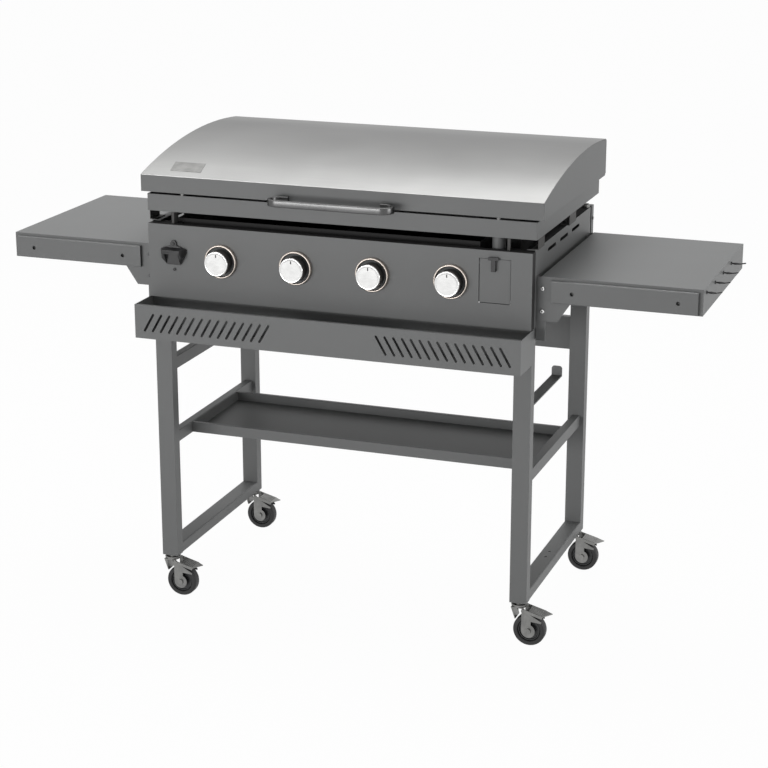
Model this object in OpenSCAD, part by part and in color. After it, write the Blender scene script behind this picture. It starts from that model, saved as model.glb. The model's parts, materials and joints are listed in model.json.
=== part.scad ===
// Outdoor gas griddle station
// A four burner griddle with a hinged lid on a wheeled frame, with two side tables, a front
// trough and a lower shelf. Z is up, the front faces -Y, and the origin lies on the floor
// under the middle of the overall box.

/* [Lid] */
// How far the lid reaches past the griddle at each side
lid_side_over = 14; // [8:0.5:20]
// Height of the lid above its lower edge
lid_rise = 95.2; // [85:0.1:120]
// Height of the lid's front lip
lip_h = 39.4; // [34:0.1:46]
// How far the lid reaches past the griddle at the front
lid_front_over = 1.5; // [1:0.5:8]
// How far the lid reaches past the griddle at the back
lid_back_over = 2; // [1:0.5:4]

/* [Lid handle] */
// Length of the handle over its rounded ends
handle_l = 296; // [240:2:400]
// Outer radius of the handle's rounded ends
handle_r = 21; // [18:1:28]
// Height of the handle's flat bar
handle_h = 15.5; // [12:0.5:20]
// Thickness of the handle's flat bar
handle_t = 5; // [4:0.5:7]
// Length of the round spacers behind the handle
spacer_l = 6; // [4:1:10]

/* [Griddle] */
// How far the griddle reaches past the burner box at each side
griddle_side_over = 6; // [2:0.5:10]
// Depth of the griddle over its walls
griddle_depth = 539.5; // [520:0.5:545]
// Height of the griddle over its walls
griddle_h = 39.1; // [32:0.1:60]
// Thickness of the cooking plate
plate_t = 5; // [4:1:8]
// Thickness of the griddle's walls
wall_t = 3; // [2:0.5:4]
// Height of the air gap between the griddle and the burner box
air_gap = 23.3; // [18:0.1:34]

/* [Burner box] */
// Width of the burner box
box_w = 910; // [880:2:920]
// Height of the burner box
box_h = 175; // [168:1:200]
// Thickness of the painted sheet steel
sheet = 1.5; // [1:0.1:2]
// How far the front panel stands ahead of the leg centres
front_over = 29.5; // [27:0.5:34]
// Gap between the rear legs and the back panel
rear_gap = 0.5; // [0.2:0.1:3]

/* [Burners and knobs] */
// Number of burners and knobs
burner_n = 4; // [4:1:4]
// Height of the knobs above the box's lower edge
knob_up = 96; // [88:1:104]
// Diameter of a knob
knob_d = 57; // [44:1:60]
// Depth of a knob
knob_h = 27; // [20:1:34]
// Outer diameter of a knob's bezel
bezel_d = 74; // [70:1:82]
// How far a knob is pushed in before it turns
push_travel = 3; // [2:0.5:3.5]

/* [Front trough] */
// Height of the trough
trough_h = 78.5; // [60:0.5:100]
// Depth of the trough from front to back
trough_depth = 95.8; // [80:0.1:120]
// Number of slanted slots at each end
slot_n = 15; // [8:1:16]
// Distance between slanted slots
slot_pitch = 20.2; // [16:0.1:22]
// Width of a slanted slot
slot_w = 5.6; // [4:0.1:7]

/* [Side tables] */
// Width of a side table
table_w = 353.4; // [300:0.2:420]
// Depth of a side table
table_depth = 459.6; // [430:0.2:480]
// Height of a table's edges
apron_h = 58; // [55:1:70]
// Height of the table tops above the box's lower edge
table_up = 115.5; // [105:0.5:125]
// Length of the tool hooks
hook_reach = 34; // [24:1:50]

/* [Frame] */
// Distance between the front and rear leg centres
leg_pitch_y = 482; // [460:1:490]
// Width of a leg
leg_w = 40; // [36:1:44]
// Depth of a leg
leg_d = 28; // [25:1:32]
// Length of the legs below the burner box
leg_clear = 644; // [560:1:720]
// Depth of the lower shelf
shelf_depth = 271; // [200:1:400]
// Height of the lower shelf's floor above the legs' lower ends
shelf_up = 276; // [200:1:360]

/* [Casters] */
// Diameter of a wheel
wheel_d = 75; // [70:1:80]
// Width of a wheel
wheel_w = 24; // [20:1:28]
// Distance of a wheel's axle from the swivel axis
trail = 26; // [20:1:30]

/* [Hidden] */
$fn = 64;

// Colours of the finishes
paint_c = "#6f7072";
dark_c = "#1c1c1d";
steel_c = "#b9b9b9";
chrome_c = "#dedede";
plate_c = "#3a3a3b";
brass_c = "#b08d4a";
zinc_c = "#85878a";
tyre_c = "#232325";

// Clearances and the overrun of the cuts
seat = 0.2;
fit = 0.05;
run_gap = 0.6;
over = 1;

// Caster heights, from the floor up
ring_h = 3.6;
crown_h = 3;
swivel_gap = 0.4;
ring_gap = 4;
fork_rise = 15;
caster_h = wheel_d + fork_rise + crown_h + swivel_gap + ring_h + ring_gap;

// Heights of the main levels
box_z = caster_h + leg_clear;
box_top_z = box_z + box_h;
front_top_drop = 3.5;
front_top_z = box_top_z - front_top_drop;
griddle_z = box_top_z + air_gap;
griddle_top_z = griddle_z + griddle_h;
lid_gap = 4.6;
lid_z = griddle_top_z + lid_gap;
lid_top_z = lid_z + lid_rise;
table_z = box_z + table_up;

// Places from front to back
leg_front_y = -leg_pitch_y / 2 - leg_d / 2;
leg_inner_y = leg_pitch_y / 2 - leg_d / 2;
box_front_y = -leg_pitch_y / 2 - front_over;
box_back_y = leg_pitch_y / 2 + leg_d / 2 + rear_gap + sheet;
griddle_set = 12;
griddle_front_y = box_front_y + griddle_set;
griddle_back_y = griddle_front_y + griddle_depth;
lid_front_y = griddle_front_y - lid_front_over;
lid_back_y = griddle_back_y + lid_back_over;
lid_depth = lid_back_y - lid_front_y;
trough_back_y = leg_front_y - seat;
trough_front_y = trough_back_y - trough_depth;
table_front_gap = 4;
table_front_y = -leg_pitch_y / 2 + table_front_gap;
table_back_y = table_front_y + table_depth;

// Places from side to side
leg_gap = 0.5;
leg_x = box_w / 2 - sheet - leg_gap - leg_w / 2;
leg_inner_x = leg_x - leg_w / 2;
griddle_w = box_w + 2 * griddle_side_over;
lid_w = griddle_w + 2 * lid_side_over;
table_gap = 11;
tab_gap = 3;
table_in_x = box_w / 2 + table_gap;
table_out_x = table_in_x + table_w;
tab_in_x = box_w / 2 + tab_gap;

// Lid hinges
hinge_pin_d = 6;
hinge_r = 6;
hinge_leaf_t = 2;
hinge_w = 60;
hinge_leaf_h = 40;
hinge_x_share = 0.632;
hinge_x = lid_w / 2 * hinge_x_share;
hinge_back = 9;
hinge_y = lid_back_y + hinge_back;
hinge_drop = 2;
hinge_z = lid_z - hinge_drop;

// Where the object's own frame lies in the working frame
overall_back_y = hinge_y + hinge_r;
mid_x = hook_reach / 2;
mid_y = (trough_front_y + overall_back_y) / 2;

// Shared helpers

// Moves a piece from the working frame, centred on the legs, to the object's own frame
module own_frame() {
  translate([-mid_x, -mid_y, 0]) children();
}

// A block between two corners
module block(low, high) {
  translate(low) cube(high - low);
}

// A profile in Y and Z, run along X between two places
module run_x(x0, x1) {
  translate([x0, 0, 0]) rotate([90, 0, 90]) linear_extrude(x1 - x0) children();
}

// A profile in X and Z, run along Y between two places
module run_y(y0, y1) {
  translate([0, y1, 0]) rotate([90, 0, 0]) linear_extrude(y1 - y0) children();
}

// A rod along Y
module rod_y(x, z, y0, y1, d) {
  translate([x, y1, z]) rotate([90, 0, 0]) cylinder(d = d, h = y1 - y0);
}

// A rod along X
module rod_x(y, z, x0, x1, d) {
  translate([x0, y, z]) rotate([0, 90, 0]) cylinder(d = d, h = x1 - x0);
}

// A flat rectangle between two corners
module flat(low, high) {
  translate(low) square(high - low);
}

// A flat rectangle between two corners with round corners
module flat_round(low, high, r) {
  flat(low + [r, 0], high - [r, 0]);
  flat(low + [0, r], high - [0, r]);
  for (x = [low[0] + r, high[0] - r], y = [low[1] + r, high[1] - r])
    translate([x, y]) circle(r);
}

// A flat slot with round ends between two points
module flat_slot(a, b, w) {
  run = b - a;
  len = norm(run);
  translate(a) rotate(atan2(run[1], run[0])) {
    translate([0, -w / 2]) square([len, w]);
    circle(d = w);
    translate([len, 0]) circle(d = w);
  }
}

// A piece and its mirror image on the other side
module both_sides() {
  children();
  mirror([1, 0, 0]) children();
}

// A piece on the left or the right side
module on_side(side) {
  scale([side, 1, 1]) children();
}

// Lid

// The crown is one arc from the front lip, over its peak, to the back
lid_peak_share = 0.718;
lid_peak_y = lid_front_y + lid_depth * lid_peak_share;
lip_top_z = lid_z + lip_h;
crown_run = lid_peak_y - lid_front_y;
crown_fall = lid_top_z - lip_top_z;
crown_r = (crown_run * crown_run + crown_fall * crown_fall) / (2 * crown_fall);
crown_z = lid_top_z - crown_r;
skin_low_z = crown_z + sqrt(pow(crown_r - sheet, 2) - crown_run * crown_run);
lid_cut = 5;
lip_return = 12;
end_return = 10;

// The lid's side outline, drawn in by an inset, with its two back corners cut
module lid_outline(inset) {
  front = lid_front_y + inset;
  back = lid_back_y - inset;
  r = crown_r - inset;
  back_z = crown_z + sqrt(r * r - (back - lid_peak_y) * (back - lid_peak_y));
  intersection() {
    translate([lid_peak_y, crown_z]) circle(r, $fn = 720);
    polygon([
      [front, lid_z], [back - lid_cut, lid_z], [back, lid_z + lid_cut],
      [back, back_z - lid_cut], [back - 2 * lid_cut, back_z + lid_cut],
      [back - 2 * lid_cut, lid_top_z + over], [front, lid_top_z + over]
    ]);
  }
}

// The inside of the lid's side outline, open at the bottom
module lid_inside(inset) {
  lid_outline(inset);
  flat([lid_front_y + inset, lid_z - over], [lid_back_y - inset, lid_z + over]);
}

module lid_skin() {
  color(steel_c) own_frame() run_x(-lid_w / 2, lid_w / 2) difference() {
    lid_outline(0);
    lid_inside(sheet);
    flat([lid_front_y - over, lid_z - over], [lid_front_y + sheet + over, skin_low_z]);
    flat([lid_front_y, lid_z - over], [lid_back_y + over, lid_z + lid_cut]);
  }
}

module lid_lip() {
  x = lid_w / 2;
  y = lid_front_y;
  color(paint_c) own_frame() {
    block([-x, y, lid_z], [x, y + sheet, skin_low_z - seat]);
    block([-x + sheet, y, lid_z], [x - sheet, y + lip_return, lid_z + sheet]);
  }
}

module lid_end(side) {
  inset = sheet + seat;
  x = lid_w / 2;
  color(paint_c) own_frame() on_side(side) {
    run_x(x - sheet, x) lid_outline(inset);
    block([x - end_return, lid_front_y + lip_return + seat, lid_z],
      [x, lid_back_y - inset - lid_cut, lid_z + sheet]);
  }
}

// Lid handle

handle_mid_x = handle_l / 2 - handle_r;
handle_back_y = lid_front_y - seat - spacer_l;
handle_mid_y = handle_back_y - handle_r;
handle_low = 1.5;
handle_z = lid_z - handle_low;
spacer_d = 12;
spacer_in = 3;
spacer_x = handle_mid_x + spacer_in;
spacer_z = handle_z + handle_h / 2;
handle_gap_in = 6;

module handle_outline(inset) {
  for (x = [-handle_mid_x, handle_mid_x])
    translate([x, handle_mid_y]) circle(handle_r - inset);
  flat([-handle_mid_x, handle_mid_y - handle_r + inset],
    [handle_mid_x, handle_mid_y + handle_r - inset]);
}

module lid_handle() {
  gap_x = handle_mid_x - handle_gap_in;
  color(paint_c) own_frame() translate([0, 0, handle_z]) linear_extrude(handle_h)
    difference() {
      handle_outline(0);
      handle_outline(handle_t);
      flat([-gap_x, handle_mid_y], [gap_x, handle_back_y + over]);
    }
}

module lid_handle_spacers() {
  color(dark_c) own_frame() for (x = [-spacer_x, spacer_x])
    rod_y(x, spacer_z, handle_back_y, lid_front_y - seat, spacer_d);
}

// Lid hinges

knuckle_n = 3;
knuckle_gap = 0.5;
knuckle_l = (hinge_w - (knuckle_n - 1) * knuckle_gap) / knuckle_n;
hinge_seat_y = lid_back_y + seat;
fixed_seat_y = griddle_back_y + seat;

// A knuckle with its bore, its number counted from the left
module knuckle(i, web_low, web_high) {
  x = -hinge_w / 2 + i * (knuckle_l + knuckle_gap);
  difference() {
    union() {
      rod_x(hinge_y, hinge_z, x, x + knuckle_l, 2 * hinge_r);
      block([x, web_low[0], hinge_z + web_low[1]],
        [x + knuckle_l, hinge_y, hinge_z + web_high]);
    }
    rod_x(hinge_y, hinge_z, x - over, x + knuckle_l + over, hinge_pin_d + 2 * fit);
  }
}

module lid_hinge_leaves() {
  color(paint_c) own_frame() for (x = [-hinge_x, hinge_x]) translate([x, 0, 0]) {
    web_z = hinge_r - hinge_leaf_t;
    knuckle(1, [hinge_seat_y, web_z], hinge_r);
    block([-hinge_w / 2, hinge_seat_y, hinge_z + web_z],
      [hinge_w / 2, hinge_seat_y + hinge_leaf_t, hinge_z + web_z + hinge_leaf_h]);
  }
}

module lid_hinge_brackets() {
  color(paint_c) own_frame() for (x = [-hinge_x, hinge_x]) translate([x, 0, 0]) {
    for (i = [0, knuckle_n - 1]) knuckle(i, [fixed_seat_y, -hinge_r], hinge_leaf_t - hinge_r);
    block([-hinge_w / 2, fixed_seat_y, hinge_z - hinge_leaf_h],
      [hinge_w / 2, fixed_seat_y + hinge_leaf_t, hinge_z - hinge_r + hinge_leaf_t]);
  }
}

module lid_hinge_pins() {
  head_h = 1.5;
  head_d = 9;
  x = hinge_w / 2;
  color(zinc_c) own_frame() for (place = [-hinge_x, hinge_x]) translate([place, 0, 0]) {
    rod_x(hinge_y, hinge_z, -x - head_h - seat, x + head_h + seat, hinge_pin_d);
    for (end = [-x - head_h - seat, x + seat])
      rod_x(hinge_y, hinge_z, end, end + head_h, head_d);
  }
}

module lid_bumpers() {
  bumper_w = 6;
  bumper_depth = 9;
  bumper_x_share = 0.81;
  x = griddle_w / 2 * bumper_x_share;
  color(chrome_c) own_frame() both_sides()
    block([x - bumper_w / 2, griddle_front_y, griddle_top_z],
      [x + bumper_w / 2, griddle_front_y + bumper_depth, lid_z - seat]);
}

// Griddle

chute_d = 29;
chute_wall = 1.5;
chute_x_share = 0.7995;
chute_x = griddle_w / 2 * chute_x_share;
chute_in = 24.5;
chute_y = griddle_front_y + chute_in;
chute_len = 45;
corner_r = 6;

module griddle_plate() {
  x = griddle_w / 2;
  inner_z = griddle_z + plate_t;
  color(plate_c) own_frame() difference() {
    union() {
      translate([0, 0, griddle_z]) linear_extrude(griddle_h)
        flat_round([-x, griddle_front_y], [x, griddle_back_y], wall_t);
      translate([chute_x, chute_y, griddle_z - chute_len])
        cylinder(d = chute_d, h = chute_len + over);
    }
    translate([0, 0, inner_z]) linear_extrude(griddle_h)
      flat_round([-x + wall_t, griddle_front_y + wall_t],
        [x - wall_t, griddle_back_y - wall_t], corner_r);
    translate([chute_x, chute_y, griddle_z - chute_len - over])
      cylinder(d = chute_d - 2 * chute_wall, h = chute_len + plate_t + 2 * over);
  }
}

foot_w = 6.5;
foot_depth = 24;
foot_x_share = 0.863;
side_tab_l = 60;
side_tab_w = 16;
side_foot_l = 57;
side_foot_w = 24;
side_foot_up = 270;

module griddle_feet() {
  t = sheet;
  x = griddle_w / 2 * foot_x_share;
  top_z = griddle_z - seat;
  out_x = griddle_w / 2;
  in_x = out_x - side_foot_w;
  color(paint_c) own_frame() both_sides() {
    // Front feet, angles that stand on the tabs of the front panel's upper flange
    translate([0, 0, front_top_z + seat]) linear_extrude(top_z - front_top_z - seat) {
      flat([x - foot_w / 2, griddle_front_y], [x + foot_w / 2, griddle_front_y + t]);
      flat([x - foot_w / 2, griddle_front_y], [x - foot_w / 2 + t, griddle_front_y + foot_depth]);
    }
    // Side tabs, angles in line with the griddle's side walls
    block([out_x - t, side_front_y, box_top_z + seat],
      [out_x, griddle_front_y + side_tab_l, top_z]);
    block([out_x - side_tab_w, side_front_y, box_top_z + seat],
      [out_x, griddle_front_y + side_tab_l, box_top_z + seat + t]);
    // Side feet, channels that stand on the side panels' upper flanges
    y = griddle_front_y + side_foot_up;
    run_y(y, y + side_foot_l) difference() {
      flat([in_x, box_top_z + seat], [out_x, top_z]);
      flat([in_x - over, box_top_z + seat + t], [out_x - t, top_z - t]);
    }
  }
}

// Burner box

top_flange = 20;
low_flange = front_over - leg_d / 2 - run_gap;
side_front_gap = 23.5;
side_front_y = box_front_y + side_front_gap;
wrap = 20;
wrap_gap = 10;
panel_gap = 2;
vent_l = 66;
vent_h = 8;
vent_pitch = 102.5;
vent_n = 3;
vent_drop = 21.5;
vent_mid_share = 0.497;
stem_hole_d = 16;

drawer_w = 72;
drawer_h = 99.5;
drawer_x_share = 0.8154;
drawer_x = box_w / 2 * drawer_x_share;
drawer_up = 54;
drawer_z = box_z + drawer_up;

opener_x_share = 0.859;
opener_x = -box_w / 2 * opener_x_share;
opener_up = 68;
opener_z = box_z + opener_up;
opener_screw_up = 60;
opener_screw_d = 4;

knob_z = box_z + knob_up;
knobs_shift = -0.75;
knob_pitch_share = 0.2;
knob_pitch = box_w * knob_pitch_share;
knob_x = [for (i = [0 : burner_n - 1]) knobs_shift + (i - (burner_n - 1) / 2) * knob_pitch];

module front_panel() {
  x = box_w / 2;
  y = box_front_y;
  tab_x = chute_x + chute_d / 2 + run_gap;
  color(paint_c) own_frame() difference() {
    union() {
      block([-x, y, box_z], [x, y + sheet, front_top_z]);
      block([-x, y, front_top_z - sheet], [x, y + top_flange, front_top_z]);
      // Deeper tabs that carry the griddle's front feet
      both_sides() block([tab_x, y, front_top_z - sheet],
        [x - sheet - seat, shield_front_y - run_gap, front_top_z]);
      block([-x, y, box_z], [x, y + low_flange, box_z + sheet]);
      both_sides() block([x - sheet, y, box_z],
        [x, side_front_y - panel_gap, front_top_z]);
    }
    for (place = knob_x) rod_y(place, knob_z, y - over, y + sheet + over, stem_hole_d);
    block([drawer_x - drawer_w / 2, y - over, drawer_z],
      [drawer_x + drawer_w / 2, y + sheet + over, drawer_z + drawer_h]);
    for (up = [0, opener_screw_up])
      rod_y(opener_x, opener_z + up, y - over, y + sheet + over, opener_screw_d + 2 * seat);
  }
}

// The vent slots of one panel, in a flat frame with the middle at zero
module vent_slots(count, z) {
  for (i = [0 : count - 1]) {
    mid = (i - (count - 1) / 2) * vent_pitch;
    flat_slot([mid - (vent_l - vent_h) / 2, z], [mid + (vent_l - vent_h) / 2, z], vent_h);
  }
}

module side_panel(side) {
  x = box_w / 2;
  back = box_back_y - wrap - wrap_gap;
  mid_y = side_front_y + (back - side_front_y) * vent_mid_share;
  color(paint_c) own_frame() on_side(side) difference() {
    union() {
      block([x - sheet, side_front_y, box_z], [x, back, box_top_z]);
      block([x - top_flange, side_front_y, box_top_z - sheet], [x, back, box_top_z]);
      block([x - low_flange, leg_front_y + leg_d + seat, box_z],
        [x, leg_inner_y - seat, box_z + sheet]);
    }
    translate([0, mid_y, 0]) run_x(x - sheet - over, x + over)
      vent_slots(vent_n, box_top_z - vent_drop);
  }
}

module back_panel() {
  x = box_w / 2;
  y = box_back_y;
  back_vent_n = 5;
  color(paint_c) own_frame() difference() {
    union() {
      block([-x, y - sheet, box_z], [x, y, box_top_z]);
      block([-x, y - top_flange, box_top_z - sheet], [x, y, box_top_z]);
      both_sides() block([x - sheet, y - wrap, box_z], [x, y, box_top_z]);
    }
    run_y(y - sheet - over, y + over) vent_slots(back_vent_n, box_top_z - vent_drop);
  }
}

// Heat shield

shield_t = 1;
shield_up = 45;
shield_rise = 5;
shield_in = 57;
shield_x = box_w / 2 - shield_in;
shield_front_gap = 40.5;
shield_front_y = box_front_y + shield_front_gap;
shield_back_y = box_back_y - wrap - wrap_gap;
shield_z = box_z + shield_up;
shield_top_z = box_top_z + shield_rise;
shield_notch_in = 10;
shield_notch_l = 65;
leg_top_drop = 40;
leg_top_z = box_top_z - leg_top_drop;
burner_hole_d = 26;

// The shield's outline from above, drawn in by an inset, with its corner cut for the drawer
module shield_outline(inset) {
  notch_x = drawer_x - drawer_w / 2 - shield_notch_in - inset;
  notch_y = shield_front_y + shield_notch_l + inset;
  difference() {
    flat([-shield_x + inset, shield_front_y + inset], [shield_x - inset, shield_back_y - inset]);
    flat([notch_x, shield_front_y - over], [shield_x + over, notch_y]);
  }
}

module heat_shield() {
  wing_x = box_w / 2 - sheet - seat;
  wing_gap = 12;
  wing_z = leg_top_z + seat;
  wing_y = leg_pitch_y / 2;
  color(steel_c) own_frame() {
    difference() {
      translate([0, 0, shield_z]) linear_extrude(shield_top_z - shield_z) shield_outline(0);
      translate([0, 0, shield_z + shield_t]) linear_extrude(shield_top_z - shield_z)
        shield_outline(shield_t);
      for (place = knob_x)
        rod_y(place, knob_z, shield_front_y - over, shield_front_y + shield_t + over,
          burner_hole_d);
    }
    // Wings that rest on the four legs, drawn flat as the walls are so that their edges meet
    translate([0, 0, wing_z]) linear_extrude(shield_t) {
      flat([-wing_x, -wing_y], [-shield_x, wing_y]);
      difference() {
        flat([shield_x, -wing_y], [wing_x, wing_y]);
        flat([shield_x - over, -wing_y - over],
          [shield_x + wing_gap, shield_front_y + shield_notch_l]);
      }
    }
  }
}

// Burners, manifold and valves

tube_d = 32;
tube_wall = 1.5;
neck_d = 20;
neck_back = 34.5;
neck_y = box_front_y + neck_back;
flare_l = 18;
neck_l = 22;
tail_d = 8;

module burner_tubes() {
  r = tube_d / 2;
  n = neck_d / 2;
  tube_end = shield_back_y - shield_t - seat - neck_y - flare_l;
  tail = shield_back_y - shield_t - seat - neck_y;
  flare_end = neck_l + flare_l;
  color(steel_c) own_frame() for (place = knob_x)
    translate([place, neck_y, knob_z]) rotate([-90, 0, 0]) rotate_extrude()
      polygon([
        [n - tube_wall, 0], [n, 0], [n, neck_l], [r, flare_end], [r, tube_end],
        [tail_d / 2, tube_end], [tail_d / 2, tail], [0, tail], [0, tube_end - tube_wall],
        [r - tube_wall, tube_end - tube_wall], [r - tube_wall, flare_end],
        [n - tube_wall, neck_l]
      ]);
}

valve_d = 20;
valve_l = 25;
valve_front_y = box_front_y + sheet + seat;
bore_l = 22;
core_d = 12;
core_l = 15;
core_set = 6;
stem_d = 6;
jet_d = 7;
jet_l = 9;
stub_d = 10;
manifold_d = 20;
manifold_wall = 2;
manifold_y = valve_front_y + valve_l / 2;
manifold_drop = 30;
manifold_z = knob_z - manifold_drop;
inlet_d = 13.16;
inlet_l = 12;
manifold_past = 25;
flange_w = 34;
flange_h = 14;
flange_t = 3;

module gas_valves() {
  color(brass_c) own_frame() for (place = knob_x) difference() {
    union() {
      rod_y(place, knob_z, valve_front_y, valve_front_y + valve_l, valve_d);
      rod_y(place, knob_z, valve_front_y, valve_front_y + valve_l + jet_l, jet_d);
      block([place - flange_w / 2, valve_front_y, knob_z - flange_h / 2],
        [place + flange_w / 2, valve_front_y + flange_t, knob_z + flange_h / 2]);
      translate([place, manifold_y, manifold_z + manifold_d / 2 + seat])
        cylinder(d = stub_d, h = manifold_drop - manifold_d / 2 - seat);
    }
    rod_y(place, knob_z, valve_front_y - over, valve_front_y + bore_l, core_d + 2 * fit);
  }
}

module valve_core(i) {
  y = valve_front_y + core_set;
  color(brass_c) own_frame() difference() {
    rod_y(knob_x[i], knob_z, y, y + core_l, core_d);
    rod_y(knob_x[i], knob_z, y - over, y + core_l + over, stem_d + 2 * fit);
  }
}

module gas_manifold() {
  left = knob_x[0] - manifold_past;
  right = knob_x[burner_n - 1] + manifold_past;
  color(steel_c) own_frame() {
    difference() {
      rod_x(manifold_y, manifold_z, left, right, manifold_d);
      rod_x(manifold_y, manifold_z, left + manifold_wall, right - manifold_wall,
        manifold_d - 2 * manifold_wall);
    }
    // Threaded inlet at the left end
    rod_x(manifold_y, manifold_z, left - inlet_l, left + manifold_wall / 2, inlet_d);
  }
}

// Knobs and bezels

knob_lift = 5.5;
knob_back_y = box_front_y - knob_lift;
knob_front_y = knob_back_y - knob_h;
knob_wall = 3;
knob_edge = 2.5;
knob_face_in = 5;
stem_tip_gap = 2;
knob_dish = 1;
hub_d = 14;
bezel_wall = 4.5;
bezel_base = 1.2;
bezel_h = 9;

module knob(i) {
  r = knob_d / 2;
  hub = hub_d / 2;
  stem = stem_d / 2;
  stem_end = valve_front_y + core_set + core_l - push_travel - stem_tip_gap;
  tail = stem_end - knob_front_y;
  color(chrome_c) own_frame() translate([knob_x[i], knob_front_y, knob_z])
    rotate([-90, 0, 0]) rotate_extrude()
      polygon([
        [0, knob_dish], [r - knob_face_in, knob_dish], [r - knob_face_in, 0],
        [r - knob_edge, 0], [r, knob_edge], [r, knob_h], [r - knob_wall, knob_h],
        [r - knob_wall, knob_wall + knob_dish], [hub, knob_wall + knob_dish],
        [hub, knob_h], [stem, knob_h], [stem, tail], [0, tail]
      ]);
}

module knob_bezels() {
  r = bezel_d / 2;
  color(chrome_c) own_frame() for (place = knob_x)
    translate([place, box_front_y - seat, knob_z]) rotate([90, 0, 0]) difference() {
      cylinder(r = r, h = bezel_h);
      translate([0, 0, bezel_base]) cylinder(r = r - bezel_wall, h = bezel_h);
      translate([0, 0, -over]) cylinder(d = stem_hole_d, h = bezel_h);
    }
}

// Bottle opener

opener_w = 63;
opener_h = 56;
opener_up_gap = 12;
opener_t = 5;
opener_foot_w = 32;
opener_nub_w = 15;
opener_nub_h = 11;
opener_tip_share = 0.5;
hood_reach = 20;
hood_w = 42;
hood_h = 9;
hood_up = 27;
hood_slope = 4;
mouth_w = 34;

// A cast opener: its front, side and top outlines meet in one faceted body
module bottle_opener() {
  y = box_front_y - seat;
  w = opener_w / 2;
  foot = opener_foot_w / 2;
  nub = opener_nub_w / 2;
  tip = nub * opener_tip_share;
  hood_top = hood_up + hood_h;
  nub_z = opener_h - opener_nub_h;
  edge = nub_z + opener_nub_h / 2;
  color(dark_c) own_frame() translate([opener_x, y, opener_z + opener_up_gap]) difference() {
    intersection() {
      run_y(-hood_reach, 0) polygon([
        [-foot, 0], [foot, 0], [w, hood_up], [w, hood_top], [nub, nub_z], [nub, edge],
        [tip, opener_h], [-tip, opener_h], [-nub, edge], [-nub, nub_z], [-w, hood_top],
        [-w, hood_up]
      ]);
      run_x(-w, w) polygon([
        [0, 0], [-opener_t, 0], [-hood_reach, hood_up], [-hood_reach, hood_top],
        [-opener_t, hood_top + hood_slope], [-opener_t, opener_h], [0, opener_h]
      ]);
      linear_extrude(opener_h) polygon([
        [-w, 0], [-w, -opener_t], [-hood_w / 2, -hood_reach], [hood_w / 2, -hood_reach],
        [w, -opener_t], [w, 0]
      ]);
    }
    // Mouth for the bottle's cap
    block([-mouth_w / 2, -hood_reach - over, -over], [mouth_w / 2, -opener_t, hood_up]);
    rod_y(0, opener_screw_up - opener_up_gap, -opener_t - over, over, opener_screw_d + 2 * seat);
  }
}

// Grease drawer

groove = 0.8;
door_back = 1.6;
cup_front_gap = door_back + sheet + seat;
cup_l = 92;
cup_in = 5;
cup_h = 84;
cup_t = 1.2;
cup_up = 5;
rim_w = 3.2;
runner_t = 1.5;

module drawer_front() {
  color(paint_c) own_frame()
    block([drawer_x - drawer_w / 2 + groove, box_front_y + door_back, drawer_z + groove],
      [drawer_x + drawer_w / 2 - groove, box_front_y + door_back + sheet,
        drawer_z + drawer_h - groove]);
}

module grease_cup() {
  x = drawer_w / 2 - cup_in;
  y = box_front_y + cup_front_gap;
  z = drawer_z + cup_up;
  color(steel_c) own_frame() translate([drawer_x, 0, 0]) difference() {
    union() {
      block([-x, y, z], [x, y + cup_l, z + cup_h]);
      block([-x - rim_w, y, z + cup_h - cup_t], [x + rim_w, y + cup_l, z + cup_h]);
    }
    block([-x + cup_t, y + cup_t, z + cup_t], [x - cup_t, y + cup_l - cup_t, z + cup_h + over]);
  }
}

module drawer_runners() {
  in_x = drawer_w / 2 - cup_in + run_gap;
  out_x = drawer_w / 2 + runner_t;
  y = box_front_y + sheet + seat;
  rail_y = box_front_y + cup_front_gap;
  rail_z = drawer_z + cup_up + cup_h - cup_t - seat;
  rail_h = 12;
  tab = 8;
  color(zinc_c) own_frame() translate([drawer_x, 0, 0]) both_sides() {
    block([in_x, rail_y, rail_z - runner_t], [out_x, rail_y + cup_l, rail_z]);
    block([out_x - runner_t, y, rail_z - runner_t], [out_x, rail_y + cup_l, rail_z + rail_h]);
    block([out_x - runner_t, y, rail_z - runner_t],
      [out_x + tab - runner_t, y + runner_t, rail_z + rail_h]);
  }
}

pull_w = 24;
pull_bar_h = 7;
pull_stem_w = 10;
pull_h = 32;
pull_t = 3;
pull_out = 7;
pull_foot = 7;
pull_over = 4.5;
pull_shift = 2;
pull_r = 2;

module drawer_pull() {
  top = drawer_z + drawer_h + pull_over;
  y = box_front_y - pull_out;
  x = drawer_x - pull_shift;
  color(dark_c) own_frame() translate([x, 0, 0]) {
    run_y(y, y + pull_t) {
      flat_round([-pull_w / 2, top - pull_bar_h], [pull_w / 2, top], pull_r);
      flat([-pull_stem_w / 2, top - pull_h], [pull_stem_w / 2, top - pull_bar_h / 2]);
    }
    block([-pull_stem_w / 2, y, top - pull_h],
      [pull_stem_w / 2, box_front_y + door_back - seat, top - pull_h + pull_foot]);
  }
}

// Front trough

trough_end = 1;
trough_x = box_w / 2 + trough_end;
trough_top_gap = 0.5;
trough_top_z = box_z - trough_top_gap;
trough_z = trough_top_z - trough_h;
hem = 8;
slot_top_drop = 21.5;
slot_low_up = 19;
slot_lean = 22;
slot_edge = 46;

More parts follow.
